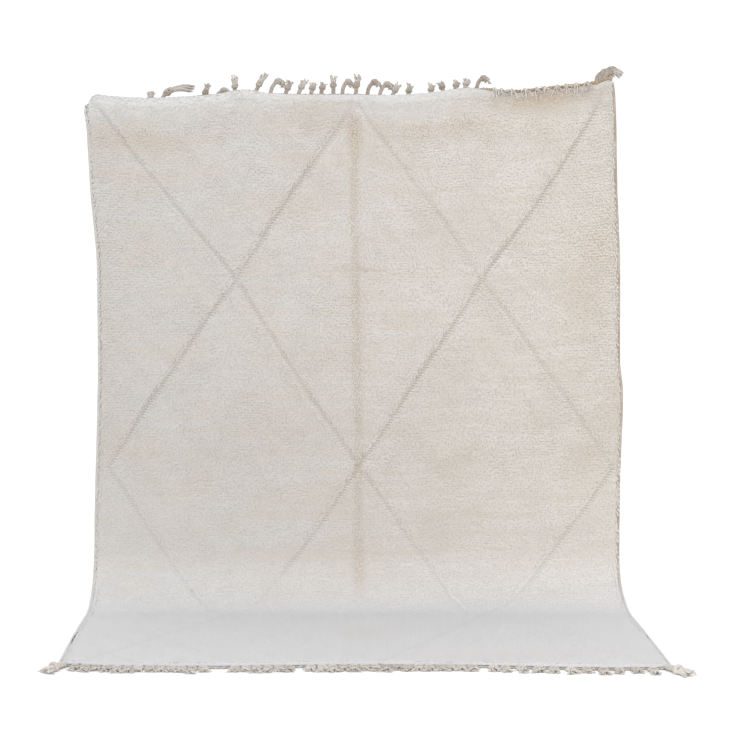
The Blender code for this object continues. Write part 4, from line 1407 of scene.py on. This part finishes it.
class RugClothSettings(bpy.types.PropertyGroup):
    """Sizes and colours of the weave and the pile."""

    flat_width: length_property("Flat width", "Width of the rug as woven", 2.10)
    flat_length: length_property("Flat length", "Length of the rug as woven, without tassels", 3.06)
    row_pitch: length_property("Row pitch", "From one row of knots to the next", 0.0105)
    lock_pitch: length_property("Lock pitch", "From one lock to the next in a row", 0.0060)
    lock_length: length_property("Lock length", "Length of a cut lock", 0.0190)
    lock_width: length_property("Lock width", "Width of a lock at its cut end", 0.0078)
    lock_depth: length_property("Lock depth", "Thickness of a lock near its cut end", 0.0019)
    shaded: colour_property("Shaded wool", "Pile on the floor, front left", "#c2c5cd")
    # The floor's wool, its cool grey partly painted light from above.
    clean: colour_property("Clean wool", "Pile on the floor", "#d0cfd0")
    cool_ivory: colour_property("Cool ivory", "Pile at the left", "#cac8c5")
    warm_ivory: colour_property("Warm ivory", "Pile at the right", "#d5d0c9")
    cream: colour_property("Cream", "Streaks of another fleece", "#cac0b3")
    # Painted highlight of the top band.
    fresh: colour_property("Fresh wool", "Least worn pile, near the bend", "#d2d1cf")
    # Also the colour of the painted shade below the rolled top end and under the fringe.
    soil: colour_property("Soil", "Worn and soiled wool", "#b59d80")
    pile_body: colour_property("Pile body", "Dense pile seen between the locks", "#c6c1b9")
    # Painted shade for the knots' feet seen in the lattice lines, the crease and between rows.
    pile_foot: colour_property("Pile foot", "Knots seen in the lattice lines", "#a0968a")
    weave_light: colour_property("Weave", "Back of the weave", "#d2c9bb")
    # Streaks of the weave, and painted shade in its hollows.
    weave_dark: colour_property("Weave between ribs", "Back of the weave, in its hollows", "#ada08c")


class RugCordSettings(bpy.types.PropertyGroup):
    """Sizes and colours of the side cords, end cords and tassels."""

    wrap_pitch: length_property("Wrap pitch", "From one overcast wrap to the next", 0.0060)
    cord_sides: IntProperty(name="Cord sides", description="Sides of a side cord's mesh",
                            default=10, min=6)
    twine_pitch: length_property("Twine pitch", "One turn of the twined end cord", 0.024)
    yarn_radius: length_property("Yarn radius", "Radius of a warp yarn", 0.0030)
    stem_yarns: IntProperty(name="Stem yarns", description="Yarns twisted into a stem",
                            default=4, min=2)
    twist_pitch: length_property("Twist pitch", "One turn of a tassel's stem", 0.026)
    ply_pitch: length_property("Ply pitch", "One turn of a yarn's ply", 0.0075)
    tails: IntProperty(name="Tails", description="Yarn ends below a tassel's knot", default=8, min=2)
    tail_spread: length_property("Tail spread", "How far the tails stand apart", 0.0085)
    frays: IntProperty(name="Frays", description="Wisps at the end of a tail", default=3, min=0)
    fray_length: length_property("Fray length", "Length of a wisp", 0.0085)
    cord_clean: colour_property("Clean cord", "Side cord on the floor", "#c8c7c5")
    cord_light: colour_property("Cord", "Side cord", "#ab9c8c")
    cord_dark: colour_property("Cord between wraps", "Side cord, between its wraps", "#8d7f71")
    yarn_light: colour_property("Pale yarn", "Frayed or clean warp", "#ded8d0")
    yarn_dark: colour_property("Beige yarn", "Worn warp", "#9a8c7e")
    yarn_soiled: colour_property("Soiled yarn", "End cord at the upper right", "#b5a188")


class RugStageSettings(bpy.types.PropertyGroup):
    """Floor, lights and camera."""

    floor_size: length_property("Floor size", "Side of the square floor", 60.0)
    floor: colour_property("Floor", "Matt paint", "#fdfdfd")
    sky: colour_property("Surround", "Light from all round", "#ffffff")
    sky_strength: FloatProperty(name="Surround strength", description="Of the light all round",
                                default=1.07)
    key_place: FloatVectorProperty(name="Key place", description="Upper left, in front",
                                   subtype="TRANSLATION", default=(-4.5, -6.5, 4.4))
    key_power: FloatProperty(name="Key power", description="Watts", default=35.0)
    key_colour: colour_property("Key colour", "Cool daylight", "#f4f8ff")
    fill_place: FloatVectorProperty(name="Fill place", description="Right, in front, low",
                                    subtype="TRANSLATION", default=(1.2, -3.2, 0.4))
    fill_power: FloatProperty(name="Fill power", description="Watts", default=30.0)
    fill_colour: colour_property("Fill colour", "Warm bounce", "#fff1e0")
    overhead_place: FloatVectorProperty(name="Overhead place", description="Above the rug",
                                        subtype="TRANSLATION", default=(0.0, -4.0, 14.0))
    overhead_power: FloatProperty(name="Overhead power", description="Watts", default=420.0)
    overhead_colour: colour_property("Overhead colour", "Cool daylight", "#d2e6ff")
    lens: FloatProperty(name="Lens", description="Focal length on a 36 mm sensor", default=81.12)
    camera_place: FloatVectorProperty(name="Camera place", description="Standing eye height, in front",
                                      subtype="TRANSLATION", default=(0.044, -6.243, 1.435))
    camera_pitch: FloatProperty(name="Camera pitch", description="Below the horizon", subtype="ANGLE",
                                default=math.radians(4.196))


class RUG_OT_ground_weave(bpy.types.Operator):
    """Weave the ground that the pile is knotted on"""

    bl_idname = "rug.ground_weave"
    bl_label = "Ground weave"

    def execute(self, context):
        make_ground_weave(context.scene.rug_cloth)
        return {"FINISHED"}


class RUG_OT_pile(bpy.types.Operator):
    """Knot, cut and brush the pile"""

    bl_idname = "rug.pile"
    bl_label = "Pile"

    def execute(self, context):
        make_pile(context.scene.rug_cloth)
        return {"FINISHED"}


class RUG_OT_selvedges(bpy.types.Operator):
    """Overcast the two side cords"""

    bl_idname = "rug.selvedges"
    bl_label = "Side cords"

    def execute(self, context):
        for side in ("left", "right"):
            make_selvedge(context.scene.rug_cord, side)
        return {"FINISHED"}


class RUG_OT_end_cords(bpy.types.Operator):
    """Twine a cord over the warps at both ends"""

    bl_idname = "rug.end_cords"
    bl_label = "End cords"

    def execute(self, context):
        make_end_cord(context.scene.rug_cord, "end_cord_top", "fringe_top", True)
        make_end_cord(context.scene.rug_cord, "end_cord_front", "fringe_front", False)
        return {"FINISHED"}


class RUG_OT_tassels(bpy.types.Operator):
    """Twist, knot and fray the tassels at both ends"""

    bl_idname = "rug.tassels"
    bl_label = "Tassels"

    def execute(self, context):
        make_tassels(context.scene.rug_cord, "tassels_top", "fringe_top", top_tassels())
        make_tassels(context.scene.rug_cord, "tassels_front", "fringe_front", front_tassels())
        return {"FINISHED"}


class RUG_OT_sheet(bpy.types.Operator):
    """Check that the pile, cords and tassels have been made"""

    bl_idname = "rug.sheet"
    bl_label = "Sheet of cloth"

    def execute(self, context):
        others = [piece for piece in bpy.data.objects if piece.name.startswith(
            ("pile_", "selvedge_left_", "selvedge_right_", "end_cord_", "tassels_"))]
        if not others:
            raise RuntimeError("make the pile, cords and tassels first")
        return {"FINISHED"}


class RUG_OT_stage(bpy.types.Operator):
    """Lay the floor, hang the lights and set the camera"""

    bl_idname = "rug.stage"
    bl_label = "Stage"

    def execute(self, context):
        make_stage(context.scene.rug_stage)
        return {"FINISHED"}


OPERATORS = (RUG_OT_stage, RUG_OT_ground_weave, RUG_OT_pile, RUG_OT_selvedges, RUG_OT_end_cords,
             RUG_OT_tassels, RUG_OT_sheet)
SETTINGS = {"rug_cloth": RugClothSettings, "rug_cord": RugCordSettings, "rug_stage": RugStageSettings}


class RUG_PT_panel(bpy.types.Panel):
    """Buttons for the rug's pieces, in the order in which they are made"""

    bl_idname = "RUG_PT_panel"
    bl_label = "Rug"
    bl_space_type = "VIEW_3D"
    bl_region_type = "UI"
    bl_category = "Rug"

    def draw(self, context):
        for operator in OPERATORS:
            self.layout.operator(operator.bl_idname)


def register():
    """Register the settings, the operators and the panel."""
    for group in SETTINGS.values():
        bpy.utils.register_class(group)
    for name, group in SETTINGS.items():
        setattr(bpy.types.Scene, name, PointerProperty(type=group))
    for made in (*OPERATORS, RUG_PT_panel):
        bpy.utils.register_class(made)


def unregister():
    """Take back what register does, in reverse."""
    for made in reversed((*OPERATORS, RUG_PT_panel)):
        bpy.utils.unregister_class(made)
    for name, group in SETTINGS.items():
        delattr(bpy.types.Scene, name)
        bpy.utils.unregister_class(group)


def main():
    """Make everything in order."""
    register()
    for step in (bpy.ops.rug.stage, bpy.ops.rug.ground_weave, bpy.ops.rug.pile,
                 bpy.ops.rug.selvedges, bpy.ops.rug.end_cords, bpy.ops.rug.tassels,
                 bpy.ops.rug.sheet):
        step()


if __name__ == "__main__":
    main()
